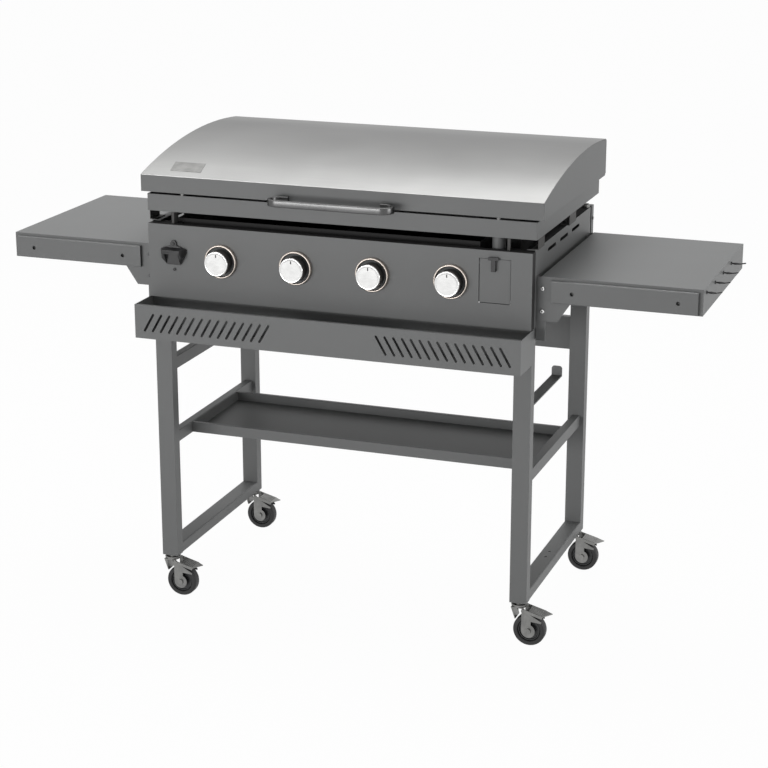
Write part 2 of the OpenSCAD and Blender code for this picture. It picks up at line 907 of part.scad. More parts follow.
module front_trough() {
  x = trough_x;
  color(paint_c) own_frame() difference() {
    union() {
      difference() {
        block([-x, trough_front_y, trough_z], [x, trough_back_y, trough_top_z]);
        block([-x + sheet, trough_front_y + sheet, trough_z + sheet],
          [x - sheet, trough_back_y - sheet, trough_top_z + over]);
      }
      // Folded edge along the top of the front
      block([-x, trough_front_y, trough_top_z - sheet],
        [x, trough_front_y + hem, trough_top_z]);
    }
    both_sides() run_y(trough_front_y - over, trough_front_y + sheet + over)
      for (i = [0 : slot_n - 1]) {
        top_x = x - slot_edge - i * slot_pitch;
        flat_slot([top_x, trough_top_z - slot_top_drop],
          [top_x + slot_lean, trough_z + slot_low_up], slot_w);
      }
  }
}

// Leg frame

tube_t = 1.5;
rail_w = 20;
low_rail_h = 26;
low_rail_r = 3;
mid_rail_h = 28;
mid_rail_up = 274;
top_rail_h = 30;
top_rail_up = 455;
rail_hole_d = 6.5;
rail_hole_y = [-22, 12.5];

module leg_tube(x, y) {
  difference() {
    block([x - leg_w / 2, y - leg_d / 2, caster_h], [x + leg_w / 2, y + leg_d / 2, leg_top_z]);
    block([x - leg_w / 2 + tube_t, y - leg_d / 2 + tube_t, caster_h + tube_t],
      [x + leg_w / 2 - tube_t, y + leg_d / 2 - tube_t, leg_top_z + over]);
    translate([x, y, caster_h - over]) cylinder(d = caster_stem_d, h = tube_t + 2 * over);
  }
}

module legs() {
  color(paint_c) own_frame()
    for (x = [-leg_x, leg_x], y = [-leg_pitch_y / 2, leg_pitch_y / 2]) leg_tube(x, y);
}

// A square tube between a front and a rear leg
module side_rail(w, z, h, r) {
  run_y(-leg_inner_y, leg_inner_y) difference() {
    flat_round([leg_x - w / 2, z], [leg_x + w / 2, z + h], r);
    flat([leg_x - w / 2 + tube_t, z + tube_t], [leg_x + w / 2 - tube_t, z + h - tube_t]);
  }
}

module frame_rails() {
  color(paint_c) own_frame() {
    both_sides() side_rail(rail_w, caster_h + mid_rail_up, mid_rail_h, tube_t);
    mirror([1, 0, 0]) side_rail(rail_w, caster_h + top_rail_up, top_rail_h, tube_t);
    mirror([1, 0, 0]) side_rail(leg_w, caster_h, low_rail_h, low_rail_r);
    difference() {
      side_rail(leg_w, caster_h, low_rail_h, low_rail_r);
      for (y = rail_hole_y)
        translate([leg_x, y, caster_h + low_rail_h - tube_t - over])
          cylinder(d = rail_hole_d, h = tube_t + 2 * over);
    }
  }
}

cross_h = 81;
cross_up = 463;
cross_flange = 14;

module rear_cross_panel() {
  z = caster_h + cross_up;
  y = leg_pitch_y / 2;
  color(paint_c) own_frame() run_x(-leg_inner_x, leg_inner_x) {
    flat([y - sheet, z], [y, z + cross_h]);
    flat([y - sheet, z], [y + cross_flange, z + sheet]);
    flat([y - sheet, z + cross_h - sheet], [y + cross_flange, z + cross_h]);
  }
}

shelf_lip = 25;
shelf_hem = 10;

module lower_shelf() {
  x = leg_x - rail_w / 2 - seat;
  y = shelf_depth / 2;
  z = caster_h + shelf_up;
  color(paint_c) own_frame() {
    difference() {
      block([-x, -y, z], [x, y, z + shelf_lip]);
      block([-x + sheet, -y + sheet, z + sheet], [x - sheet, y - sheet, z + shelf_lip + over]);
    }
    // Inward folds along the top of the front and back lips
    for (side = [-1, 1]) scale([1, side, 1])
      block([-x, y - shelf_hem, z + shelf_lip - sheet], [x, y, z + shelf_lip]);
  }
}

strap_w = 25;
strap_t = 3;
strap_l = 267;
strap_up = 454;
strap_end_h = 25;
strap_end_r = 7;
strap_flange = 26;
strap_bolt_d = 9;
strap_bolt_h = 4;

module strap_hook() {
  y = -leg_inner_y + seat;
  z = caster_h + strap_up;
  end_y = y + strap_l;
  w = strap_w / 2;
  color(paint_c) own_frame() translate([leg_x, 0, 0]) {
    block([-w, y, z], [w, end_y, z + strap_t]);
    block([-w, y, z - strap_flange], [w, y + strap_t, z + strap_t]);
    run_y(end_y - strap_t, end_y) {
      flat([-w, z], [w, z + strap_end_h - strap_end_r]);
      flat_round([-w, z + strap_t], [w, z + strap_end_h], strap_end_r);
    }
    rod_y(0, z - strap_flange / 2, y + strap_t - over, y + strap_t + strap_bolt_h, strap_bolt_d);
  }
}

// Side tables

tab_drop = 99.5;
tab_low_w = 45;
tab_high_w = 73;
edge_fold = 12;
edge_in = 12;
table_bolt_in = 11.5;
table_bolt_z = [27, 77.5];
table_bolt_d = 6;
table_bolt_head_d = 11;
table_bolt_head_h = 4;

// A long edge of a table with its mounting tab
module table_edge(y) {
  top = table_z - sheet;
  tab_z = table_z - tab_drop;
  low = table_z - apron_h;
  run_y(y, y + sheet) difference() {
    polygon([
      [tab_in_x, tab_z], [tab_in_x + tab_low_w, tab_z], [tab_in_x + tab_high_w, low],
      [table_out_x, low], [table_out_x, top + over / 2], [table_in_x, top + over / 2],
      [tab_in_x, top]
    ]);
    for (drop = table_bolt_z) translate([tab_in_x + table_bolt_in, table_z - drop])
      circle(d = table_bolt_d + 2 * seat);
  }
}

module table(side) {
  low = table_z - apron_h;
  top = table_z - sheet;
  color(paint_c) own_frame() on_side(side) {
    block([table_in_x, table_front_y, top], [table_out_x, table_back_y, table_z]);
    table_edge(table_front_y);
    table_edge(table_back_y - sheet);
    block([table_in_x, table_front_y + edge_in, low],
      [table_in_x + sheet, table_back_y - edge_in, top + over / 2]);
    block([table_out_x - sheet, table_front_y, low], [table_out_x, table_back_y, top + over / 2]);
    // Folds along the lower edge of the outer end and the back
    block([table_out_x - edge_fold, table_front_y, low], [table_out_x, table_back_y, low + sheet]);
    block([tab_in_x + tab_high_w, table_back_y - edge_fold, low],
      [table_out_x, table_back_y, low + sheet]);
  }
}

rail_in = 24;
rail_out = 9.4;
rail_proud = 8;
rail_top_drop = 6.5;
rail_h = 50;
rail_bend_r = 3;
rail_t = 1.5;
rail_hole = 9;
rail_hole_in = 46;
rail_hole_pitch = 231.5;
rail_hole_z_share = 0.48;

module table_front_rails() {
  y = table_front_y - seat;
  top = table_z - rail_top_drop;
  x0 = table_in_x + rail_in;
  x1 = table_out_x - rail_out;
  hole_z = top - rail_h + rail_h * rail_hole_z_share;
  color(paint_c) own_frame() both_sides() difference() {
    run_x(x0, x1) difference() {
      union() {
        flat_round([y - rail_proud, top - rail_h], [y, top], rail_bend_r);
        flat([y - rail_bend_r, top - rail_h], [y, top]);
      }
      flat_round([y - rail_proud + rail_t, top - rail_h + rail_t], [y + over, top - rail_t],
        rail_bend_r - rail_t);
      flat([y - over, top - rail_h + rail_t], [y + over, top - rail_t]);
    }
    for (x = [x0 + rail_hole_in, x0 + rail_hole_in + rail_hole_pitch])
      rod_y(x, hole_z, y - rail_proud - over, y - rail_proud + rail_t + over, rail_hole);
  }
}

bracket_w = 21;
bracket_depth = 34;
bracket_drop = 144;

// An angle bracket that carries one long edge of a table
module table_bracket(y, depth) {
  x = box_w / 2 + seat;
  low = table_z - bracket_drop;
  top = table_z - sheet - seat;
  difference() {
    union() {
      block([x, min(y, y + depth), low], [x + sheet, max(y, y + depth), top]);
      block([x, min(y, y + sheet * sign(depth)), low],
        [x + bracket_w, max(y, y + sheet * sign(depth)), top]);
    }
    for (drop = table_bolt_z)
      rod_y(tab_in_x + table_bolt_in, table_z - drop, y - 2 * sheet, y + 2 * sheet,
        table_bolt_d + 2 * seat);
  }
}

module table_brackets() {
  color(paint_c) own_frame() both_sides() {
    table_bracket(table_front_y + sheet + seat, bracket_depth);
    table_bracket(table_back_y - sheet - seat, -bracket_depth);
  }
}

// A domed bolt with its nut; the head is at the front of the plates
dome_shares = [0.3, 0.85, 0.25];

module table_bolt(y0, y1) {
  stack = y1 - y0;
  nut_d = 10;
  nut_h = 5;
  rotate([-90, 0, 0]) rotate_extrude() polygon([
    [0, -table_bolt_head_h],
    [table_bolt_head_d * dome_shares[0], -table_bolt_head_h * dome_shares[1]],
    [table_bolt_head_d / 2, -table_bolt_head_h * dome_shares[2]], [table_bolt_head_d / 2, 0],
    [table_bolt_d / 2, 0], [table_bolt_d / 2, stack], [nut_d / 2, stack],
    [nut_d / 2, stack + nut_h], [0, stack + nut_h]
  ]);
}

module table_bolts() {
  stack = 2 * sheet + seat;
  x = tab_in_x + table_bolt_in;
  color(chrome_c) own_frame() both_sides() for (drop = table_bolt_z) {
    translate([x, table_front_y, table_z - drop]) table_bolt(0, stack);
    translate([x, table_back_y, table_z - drop]) rotate([0, 0, 180]) table_bolt(0, stack);
  }
}

hook_n = 4;
hook_pitch = 93;
hook_first = 31;
hook_drop = 12.5;
hook_base_d = 8;
hook_neck_d = 3.4;
hook_belly_d = 5.6;
hook_tip_d = 3;
hook_tip_tilt = 12;
hook_body_share = 0.6;
hook_belly_share = 0.5;

module tool_hooks() {
  body_l = hook_reach * hook_body_share;
  tip_l = hook_reach - body_l - hook_tip_d / 2;
  color(dark_c) own_frame() for (i = [0 : hook_n - 1])
    translate([table_out_x, table_front_y + hook_first + i * hook_pitch, table_z - hook_drop]) {
      rotate([0, 90, 0]) rotate_extrude() polygon([
        [0, 0], [hook_base_d / 2, 0], [hook_base_d / 2, sheet], [hook_neck_d / 2, 2 * sheet],
        [hook_belly_d / 2, body_l * hook_belly_share], [hook_neck_d / 2, body_l], [0, body_l]
      ]);
      translate([body_l, 0, 0]) {
        sphere(d = hook_neck_d);
        rotate([0, 90 - hook_tip_tilt, 0]) cylinder(d = hook_tip_d, h = tip_l);
        rotate([0, 90 - hook_tip_tilt, 0]) translate([0, 0, tip_l]) sphere(d = hook_tip_d);
      }
    }
}

// Screws

corner_head_d = 18;
corner_head_h = 8;
corner_bevel = 2;
corner_in = 10;
corner_back = 35;
wrap_screw_d = 7;
wrap_screw_h = 2.5;
wrap_screw_drops = [31, 140];
wrap_screw_in = 9;

module panel_screws() {
  y = box_front_y - seat;
  color(steel_c) own_frame() {
    both_sides() {
      // Round heads on the rear corners of the side panels' flanges
      translate([box_w / 2 - corner_in, box_back_y - corner_back, box_top_z]) {
        cylinder(d = corner_head_d, h = corner_head_h - corner_bevel);
        translate([0, 0, corner_head_h - corner_bevel])
          cylinder(d1 = corner_head_d, d2 = corner_head_d - 2 * corner_bevel, h = corner_bevel);
      }
      // Screws in the back panel's wrapped edges
      for (drop = wrap_screw_drops)
        rod_x(box_back_y - wrap_screw_in, box_top_z - drop, box_w / 2,
          box_w / 2 + wrap_screw_h, wrap_screw_d);
    }
    // Screws of the bottle opener
    rod_y(opener_x, opener_z + opener_screw_up, y - opener_t - wrap_screw_h, y - opener_t,
      wrap_screw_d);
    rod_y(opener_x, opener_z, y - wrap_screw_h, y, wrap_screw_d);
  }
}

// Casters

caster_stem_d = 12;
caster_pin_d = 11;
caster_foot_d = 16;
neck_share = 0.6;
crown_web_share = 0.45;
fork_horn_w = 8;
fork_horn_shares = [0.08, 0.36];
gusset_shares = [0.4, 0.345];
rim_share = 0.7;
ring_d = 37;
crown_d = 34;
cheek = 2;
cheek_gap = 3;
axle_z = wheel_d / 2;
axle_d = 8;
axle_head_d = 13;
axle_head_h = 3;
cheek_in = wheel_w / 2 + cheek_gap;
cheek_out = cheek_in + cheek;
crown_z_low = wheel_d + fork_rise;
fork_leg_w = 22;
fork_foot_r = 16;
pedal_pin = [14, 86];
pedal_pin_d = 4;
ear_r = 4.5;

module caster_at(sx, sy) {
  translate([sx * leg_x, sy * leg_pitch_y / 2, 0]) children();
}

module caster_stems() {
  ring_z = crown_z_low + crown_h + swivel_gap;
  nut_h = 6;
  foot_h = 1.2;
  color(zinc_c) own_frame() for (sx = [-1, 1], sy = [-1, 1]) caster_at(sx, sy) {
    translate([0, 0, ring_z]) cylinder(d = ring_d, h = ring_h);
    translate([0, 0, ring_z]) cylinder(d = crown_d * neck_share, h = caster_h - ring_z);
    translate([0, 0, crown_z_low - foot_h - swivel_gap])
      cylinder(d = caster_pin_d, h = caster_h + tube_t + nut_h + foot_h - crown_z_low);
    translate([0, 0, crown_z_low - foot_h - swivel_gap])
      cylinder(d = caster_foot_d, h = foot_h);
    translate([0, 0, caster_h + tube_t]) cylinder(d = 2 * caster_stem_d, h = nut_h, $fn = 6);
  }
}

module caster_fork(sx, sy) {
  top = crown_z_low + crown_h;
  left = trail - fork_foot_r;
  right = left + fork_leg_w;
  web_x = -crown_d * crown_web_share;
  horn = [-fork_horn_shares[0] * wheel_d, axle_z + fork_horn_shares[1] * wheel_d];
  gussets = gusset_shares * wheel_d;
  gusset_x = trail + gussets[0];
  gusset_z = axle_z + gussets[1];
  color(zinc_c) own_frame() caster_at(sx, sy) {
    difference() {
      union() {
        translate([0, 0, crown_z_low]) cylinder(d = crown_d, h = crown_h);
        block([web_x, -cheek_out, crown_z_low],
          [pedal_pin[0], cheek_out, crown_z_low + cheek]);
        // Slanting back web
        run_y(-cheek_out, cheek_out) polygon([
          [web_x, crown_z_low + cheek], horn, horn + [cheek, 0],
          [web_x + cheek, crown_z_low + cheek]
        ]);
        for (side = [-1, 1]) scale([1, side, 1]) run_y(cheek_in, cheek_out) {
          polygon([
            [left, axle_z], [right, axle_z], [right, gusset_z - cheek],
            [gusset_x, gusset_z - 2 * cheek], [gusset_x, gusset_z],
            pedal_pin + [ear_r, -cheek], [pedal_pin[0], crown_z_low + cheek],
            [left, crown_z_low + cheek]
          ]);
          polygon([
            [web_x, crown_z_low + cheek], horn, [web_x + fork_horn_w, crown_z_low + cheek]
          ]);
          translate([trail, axle_z]) circle(fork_foot_r);
          translate(pedal_pin) circle(ear_r);
        }
      }
      translate([0, 0, crown_z_low - over])
        cylinder(d = caster_pin_d + 2 * fit, h = crown_h + 2 * over);
      rod_y(trail, axle_z, -cheek_out - over, cheek_out + over, axle_d + 2 * seat);
      rod_y(pedal_pin[0], pedal_pin[1], -cheek_out - over, cheek_out + over,
        pedal_pin_d + 2 * fit);
    }
    // Axle bolt with its head and nut
    head = cheek_out + seat;
    rod_y(trail, axle_z, -head - axle_head_h, head + axle_head_h, axle_d);
    rod_y(trail, axle_z, -head - axle_head_h, -head, axle_head_d);
    rod_y(trail, axle_z, head, head + axle_head_h, axle_head_d);
  }
}

module caster_wheel(sx, sy) {
  r = wheel_d / 2;
  w = wheel_w / 2;
  bore = axle_d / 2 + fit;
  hub_r = 11;
  hub_w = w + cheek_gap - swivel_gap;
  web_w = 4;
  rim_r = r * rim_share;
  shoulder = 4;
  color(tyre_c) own_frame() caster_at(sx, sy) translate([trail, 0, axle_z])
    rotate([90, 0, 0]) rotate_extrude() polygon([
      [bore, -hub_w], [hub_r, -hub_w], [hub_r, -web_w], [rim_r, -web_w], [rim_r, -w],
      [r - shoulder, -w], [r, -w + shoulder], [r, w - shoulder], [r - shoulder, w],
      [rim_r, w], [rim_r, web_w], [hub_r, web_w], [hub_r, hub_w], [bore, hub_w]
    ]);
}

// Brake pedals

pedal_t = 2;
pedal_l = 46;
pedal_slope = 15;
pedal_w = 40;
pedal_skirt = 5;
pedal_tip_l = 20;
pedal_tip_rise = 9;
tread_start = 12;

module brake_pedal(sx, sy) {
  w = pedal_w / 2;
  color(zinc_c) own_frame() caster_at(sx, sy)
    translate([pedal_pin[0], 0, pedal_pin[1]]) rotate([0, pedal_slope, 0]) {
      // Tread
      block([tread_start, -w, pedal_t], [pedal_l, w, 2 * pedal_t]);
      // Pointed tip, turned up a little
      translate([pedal_l, 0, pedal_t]) rotate([0, -pedal_slope - pedal_tip_rise, 0])
        linear_extrude(pedal_t) polygon([[-over, -w], [pedal_tip_l, 0], [-over, w]]);
      // Skirts that carry the pin outside the cheeks
      for (side = [-1, 1]) scale([1, side, 1]) run_y(cheek_out + run_gap, w) {
        flat([0, -pedal_skirt / 2], [pedal_l, 2 * pedal_t]);
        circle(ear_r);
      }
      for (side = [-1, 1]) scale([1, side, 1])
        rod_y(0, 0, cheek_in + fit, w, pedal_pin_d);
    }
}

lid_skin();
lid_lip();
lid_end(-1);  // lid_end_left
lid_end(1);  // lid_end_right
lid_handle();
lid_handle_spacers();
lid_hinge_leaves();
lid_hinge_brackets();
lid_hinge_pins();
lid_bumpers();
griddle_plate();
griddle_feet();
front_panel();
side_panel(-1);  // side_panel_left
side_panel(1);  // side_panel_right
back_panel();
heat_shield();
burner_tubes();
gas_manifold();
gas_valves();
knob_bezels();
knob(0);  // knob_1
knob(1);  // knob_2
knob(2);  // knob_3
knob(3);  // knob_4
valve_core(0);  // valve_core_1
valve_core(1);  // valve_core_2
valve_core(2);  // valve_core_3
valve_core(3);  // valve_core_4
bottle_opener();
drawer_front();
drawer_pull();
grease_cup();
drawer_runners();
front_trough();
legs();
frame_rails();
rear_cross_panel();
lower_shelf();
strap_hook();
table(-1);  // table_left
table(1);  // table_right
table_front_rails();
table_brackets();
table_bolts();
tool_hooks();
panel_screws();
caster_stems();
caster_fork(-1, -1);  // caster_fork_fl
caster_fork(1, -1);  // caster_fork_fr
caster_fork(-1, 1);  // caster_fork_rl
caster_fork(1, 1);  // caster_fork_rr
caster_wheel(-1, -1);  // caster_wheel_fl
caster_wheel(1, -1);  // caster_wheel_fr
caster_wheel(-1, 1);  // caster_wheel_rl
caster_wheel(1, 1);  // caster_wheel_rr
brake_pedal(-1, -1);  // brake_pedal_fl
brake_pedal(1, -1);  // brake_pedal_fr
brake_pedal(-1, 1);  // brake_pedal_rl
brake_pedal(1, 1);  // brake_pedal_rr
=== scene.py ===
import json
import math

import bmesh
import bpy
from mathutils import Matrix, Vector
from mathutils.bvhtree import BVHTree


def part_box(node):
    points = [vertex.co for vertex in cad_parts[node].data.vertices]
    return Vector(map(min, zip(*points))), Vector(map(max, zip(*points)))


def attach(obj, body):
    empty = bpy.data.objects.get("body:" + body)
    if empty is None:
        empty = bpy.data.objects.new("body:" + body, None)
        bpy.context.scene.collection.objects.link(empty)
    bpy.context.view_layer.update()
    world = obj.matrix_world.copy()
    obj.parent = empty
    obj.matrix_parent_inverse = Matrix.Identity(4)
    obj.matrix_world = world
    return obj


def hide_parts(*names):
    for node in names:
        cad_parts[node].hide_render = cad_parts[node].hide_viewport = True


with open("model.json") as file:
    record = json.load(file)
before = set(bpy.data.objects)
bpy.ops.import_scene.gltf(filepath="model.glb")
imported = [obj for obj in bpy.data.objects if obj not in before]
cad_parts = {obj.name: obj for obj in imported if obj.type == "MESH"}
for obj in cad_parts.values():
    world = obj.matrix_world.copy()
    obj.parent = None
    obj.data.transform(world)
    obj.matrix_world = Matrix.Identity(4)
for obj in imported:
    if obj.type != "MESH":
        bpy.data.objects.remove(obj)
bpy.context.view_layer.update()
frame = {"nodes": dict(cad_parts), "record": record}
cadNodes = frame["nodes"]
record = frame["record"]
bodyOf = {node: body for body, members in record["behaviour"]["bodies"].items() for node in members}
slotOf = {part["node"]: part["material_slot"] for part in record["subparts"]}
mm = 0.001
print("frame loaded:", len(cadNodes), "solids")


# Camera at the photograph's angle

cameraSettings = {
    "place": (1.5799, -4.3470, 1.9175),
    "pitchDegrees": 73.089,
    "turnDegrees": 19.832,
    "lensMm": 95.6,
    "sensorMm": 36,
    "seesToM": 100,
}


def makeCamera(settings):
    data = bpy.data.cameras.new("photoCamera")
    data.lens = settings["lensMm"]
    data.sensor_width = settings["sensorMm"]
    data.clip_end = settings["seesToM"]
    camera = bpy.data.objects.new("photoCamera", data)
    camera.location = settings["place"]
    camera.rotation_euler = (
        math.radians(settings["pitchDegrees"]), 0, math.radians(settings["turnDegrees"]))
    bpy.context.scene.collection.objects.link(camera)
    bpy.context.scene.camera = camera


makeCamera(cameraSettings)


# Materials

# From an sRGB hex code to linear light
def hexLinear(code):
    parts = [int(code[i:i + 2], 16) / 255 for i in (1, 3, 5)]
    return tuple(p / 12.92 if p <= 0.04045 else ((p + 0.055) / 1.055) ** 2.4 for p in parts) + (1.0,)


# Adds a node; each setting is a property by its name, or an input that takes a value or another node's output
def addNode(tree, kind, settings):
    node = tree.nodes.new(kind)
    for key, value in settings.items():
        if isinstance(key, str) and key not in node.inputs:
            setattr(node, key, value)
        elif isinstance(value, bpy.types.NodeSocket):
            tree.links.new(value, node.inputs[key])
        else:
            node.inputs[key].default_value = value
    return node


def startMaterial(name):
    material = bpy.data.materials.new(name)
    material.use_nodes = True
    tree = material.node_tree
    tree.nodes.clear()
    shader = addNode(tree, "ShaderNodeBsdfPrincipled", {})
    addNode(tree, "ShaderNodeOutputMaterial", {"Surface": shader.outputs[0]})
    place = addNode(tree, "ShaderNodeTexCoord", {}).outputs["Object"]
    return material, tree, shader, place


def perMetre(sizeMm):
    return 1000 / sizeMm


# How rich each pattern's noise is
cloudNoise = {"Detail": 2.0}
peelNoise = {"Detail": 3.0, "Roughness": 0.6}
grainNoise = {"Detail": 4.0}
lineNoise = {"Scale": 1.0, "Detail": 4.0, "Roughness": 0.65}
lineShare = 0.55  # weight of the lines beside the cloud in a lined metal's tone
toneSpread = {"From Min": 0.45, "From Max": 1.1}  # where that sum reaches the darkest and the lightest tone
coatIor = 1.5
rubberIor = 1.52


# Tone, gloss and bump shared by every finish; each comes from a pattern's output
# A colour Mix node takes its two colours at inputs 6 and 7 and gives the blend at output 2
def dressShader(tree, shader, look, toneFrom, reliefFrom, depthMm):
    tone = addNode(tree, "ShaderNodeMix", {
        "data_type": "RGBA", 0: toneFrom, 6: hexLinear(look["dark"]), 7: hexLinear(look["light"])})
    gloss = addNode(tree, "ShaderNodeMapRange", {
        "Value": reliefFrom, "To Min": look["roughness"] - look["glossSpread"],
        "To Max": look["roughness"] + look["glossSpread"]})
    bump = addNode(tree, "ShaderNodeBump", {
        "Height": reliefFrom, "Strength": look["reliefStrength"], "Distance": depthMm * mm})
    tree.links.new(tone.outputs[2], shader.inputs["Base Color"])
    tree.links.new(gloss.outputs[0], shader.inputs["Roughness"])
    tree.links.new(bump.outputs[0], shader.inputs["Normal"])
    return tone


# A smooth coat or moulding: hardly any change of tone, and a fine orange peel
def powderCoat(name, look):
    material, tree, shader, place = startMaterial(name)
    cloud = addNode(tree, "ShaderNodeTexNoise", {
        "Vector": place, "Scale": perMetre(look["cloudMm"]), **cloudNoise})
    peel = addNode(tree, "ShaderNodeTexNoise", {
        "Vector": place, "Scale": perMetre(look["peelMm"]), **peelNoise})
    dressShader(tree, shader, look, cloud.outputs["Fac"], peel.outputs["Fac"], look["peelDepthMm"])
    shader.inputs["IOR"].default_value = coatIor
    return material


# Metal whose lines run along one axis: brushed sheet, or drawn, turned and plated pressings
# Real lines are too fine to show, so all of them are drawn coarser
def linedMetal(name, look):
    material, tree, shader, place = startMaterial(name)
    stretch = [perMetre(look["lineMm"])] * 3
    stretch["XYZ".index(look["along"])] = perMetre(look["lineLengthMm"])
    mapping = addNode(tree, "ShaderNodeMapping", {"Vector": place, "Scale": stretch})
    lines = addNode(tree, "ShaderNodeTexNoise", {"Vector": mapping.outputs[0], **lineNoise})
    cloud = addNode(tree, "ShaderNodeTexNoise", {
        "Vector": place, "Scale": perMetre(look["cloudMm"]), **cloudNoise})
    blend = addNode(tree, "ShaderNodeMath", {
        "operation": "MULTIPLY_ADD", 0: lines.outputs["Fac"], 1: lineShare, 2: cloud.outputs["Fac"]})
    spread = addNode(tree, "ShaderNodeMapRange", {"Value": blend.outputs[0], **toneSpread})
    tone = dressShader(tree, shader, look, spread.outputs[0], lines.outputs["Fac"], look["lineDepthMm"])
    # painted shade: the colour darkens along Y towards the back
    if "fade" in look:
        paintedShadeTowardsBack(tree, shader, place, tone, look["fade"])
    shader.inputs["Metallic"].default_value = 1.0
    return material


# Painted shade: the sheet's colour darkens from its front edge to its back, standing in for the darker
# reflection there
def paintedShadeTowardsBack(tree, shader, place, tone, fade):
    split = addNode(tree, "ShaderNodeSeparateXYZ", {"Vector": place})
    run = addNode(tree, "ShaderNodeMapRange", {
        "Value": split.outputs["Y"], "From Min": fade["fromMm"] * mm, "From Max": fade["toMm"] * mm})
    shadeMix = addNode(tree, "ShaderNodeMix", {
        "data_type": "RGBA", "blend_type": "MULTIPLY", 0: run.outputs[0],
        6: tone.outputs[2], 7: hexLinear(fade["colour"])})
    tree.links.new(shadeMix.outputs[2], shader.inputs["Base Color"])


# Rubber, compression moulded: matt, with a little dust and a grain drawn coarser than the real one
def mouldedRubber(name, look):
    material, tree, shader, place = startMaterial(name)
    grain = addNode(tree, "ShaderNodeTexNoise", {
        "Vector": place, "Scale": perMetre(look["grainMm"]), **grainNoise})
    dust = addNode(tree, "ShaderNodeTexNoise", {
        "Vector": place, "Scale": perMetre(look["dustMm"]), **cloudNoise})
    dressShader(tree, shader, look, dust.outputs["Fac"], grain.outputs["Fac"], look["grainDepthMm"])
    shader.inputs["IOR"].default_value = rubberIor
    return material


# Body, frame and tables: polyester powder coat, sprayed and baked, which gives an even satin grey
greyPowder = powderCoat("greyPolyesterPowderCoat", {
    "dark": "#6b6c6c", "light": "#727373", "roughness": 0.5, "glossSpread": 0.05, "cloudMm": 240,
    "peelMm": 1.6, "reliefStrength": 0.1, "peelDepthMm": 0.06})
# The same coat on the rails' rolled edges: smoother, and painted lighter as a highlight along the roll
highlightedPowder = powderCoat("smoothGreyPowderCoat", {
    "dark": "#7b7c7c", "light": "#848585", "roughness": 0.24, "glossSpread": 0.03, "cloudMm": 240,
    "peelMm": 1.6, "reliefStrength": 0.03, "peelDepthMm": 0.03})
# Hooks, pull, spacers and knob sides: black coat, its texture just rough enough to break up the shine
blackPowder = powderCoat("blackTexturedPowderCoat", {
    "dark": "#131314", "light": "#1b1b1c", "roughness": 0.42, "glossSpread": 0.05, "cloudMm": 30,
    "peelMm": 0.9, "reliefStrength": 0.25, "peelDepthMm": 0.06})
# Cast opener: black enamel, glossy enough for its facets to part
openerEnamel = powderCoat("glossBlackEnamel", {
    "dark": "#1d1d1e", "light": "#262627", "roughness": 0.3, "glossSpread": 0.04, "cloudMm": 18,
    "peelMm": 1.2, "reliefStrength": 0.12, "peelDepthMm": 0.05})
# Bare steel above the flames: matt and almost black, partly with soot and scale and partly as painted shade
# inside the burner box
sootAndShadeSteel = powderCoat("heatBlackenedSteel", {
    "dark": "#0b0b0b", "light": "#151414", "roughness": 0.7, "glossSpread": 0.05, "cloudMm": 70,
    "peelMm": 3, "reliefStrength": 0.2, "peelDepthMm": 0.1})
# The grey coat darkened as painted shade for the griddle's feet, which sit in shadow under the griddle:
# darker, browner and matt
shadedFeetPowder = powderCoat("scorchedPowderCoat", {
    "dark": "#3c3b3a", "light": "#4c4b4a", "roughness": 0.6, "glossSpread": 0.06, "cloudMm": 30,
    "peelMm": 2, "reliefStrength": 0.12, "peelDepthMm": 0.06})
# Rolled plate with baked-on oil: dark brown-black, uneven and half glossy
seasonedSteel = powderCoat("oilSeasonedRolledSteel", {
    "dark": "#191715", "light": "#2c2825", "roughness": 0.42, "glossSpread": 0.12, "cloudMm": 55,
    "peelMm": 5, "reliefStrength": 0.15, "peelDepthMm": 0.1})
# Lid: stainless sheet brushed from side to side, which draws its shine out across the curve; its colour
# darkens towards the back as painted shade
lidStainless = linedMetal("brushedStainlessSheet", {
    "dark": "#8b8b8a", "light": "#9f9f9e", "roughness": 0.34, "glossSpread": 0.06, "cloudMm": 260,
    "along": "X", "lineMm": 1.4, "lineLengthMm": 180, "reliefStrength": 0.1, "lineDepthMm": 0.02,
    "fade": {"fromMm": -170, "toMm": 180, "colour": "#979797"}})
# Knob caps and the right table's front bolts: chrome plate, bright and smooth
chromePlate = linedMetal("polishedChromePlate", {
    "dark": "#dadad9", "light": "#ebebea", "roughness": 0.16, "glossSpread": 0.03, "cloudMm": 25,
    "along": "X", "lineMm": 3, "lineLengthMm": 12, "reliefStrength": 0.03, "lineDepthMm": 0.01})
# Bezel rings: nickel plate, warm and a little less polished
nickelPlate = linedMetal("satinNickelPlate", {
    "dark": "#c4bab1", "light": "#d6ccc4", "roughness": 0.34, "glossSpread": 0.04, "cloudMm": 25,
    "along": "X", "lineMm": 3, "lineLengthMm": 12, "reliefStrength": 0.02, "lineDepthMm": 0.01})
# Casters, pins and badge plate: zinc plated steel, a dull clouded grey
zincPlate = linedMetal("zincPlatedPressing", {
    "dark": "#6e6e6d", "light": "#898987", "roughness": 0.36, "glossSpread": 0.06, "cloudMm": 18,
    "along": "Z", "lineMm": 1.5, "lineLengthMm": 20, "reliefStrength": 0.08, "lineDepthMm": 0.02})
# Manifold and grease cup: cold rolled steel, plain and slightly oily grey
millSteel = linedMetal("coldRolledSteel", {
    "dark": "#5f5f5e", "light": "#7b7b79", "roughness": 0.42, "glossSpread": 0.06, "cloudMm": 60,
    "along": "X", "lineMm": 2, "lineLengthMm": 60, "reliefStrength": 0.06, "lineDepthMm": 0.02})
# Valves: turned brass, yellow with short tool lines
turnedBrass = linedMetal("turnedBrass", {
    "dark": "#a8853f", "light": "#c7a457", "roughness": 0.3, "glossSpread": 0.05, "cloudMm": 12,
    "along": "X", "lineMm": 0.8, "lineLengthMm": 6, "reliefStrength": 0.08, "lineDepthMm": 0.02})
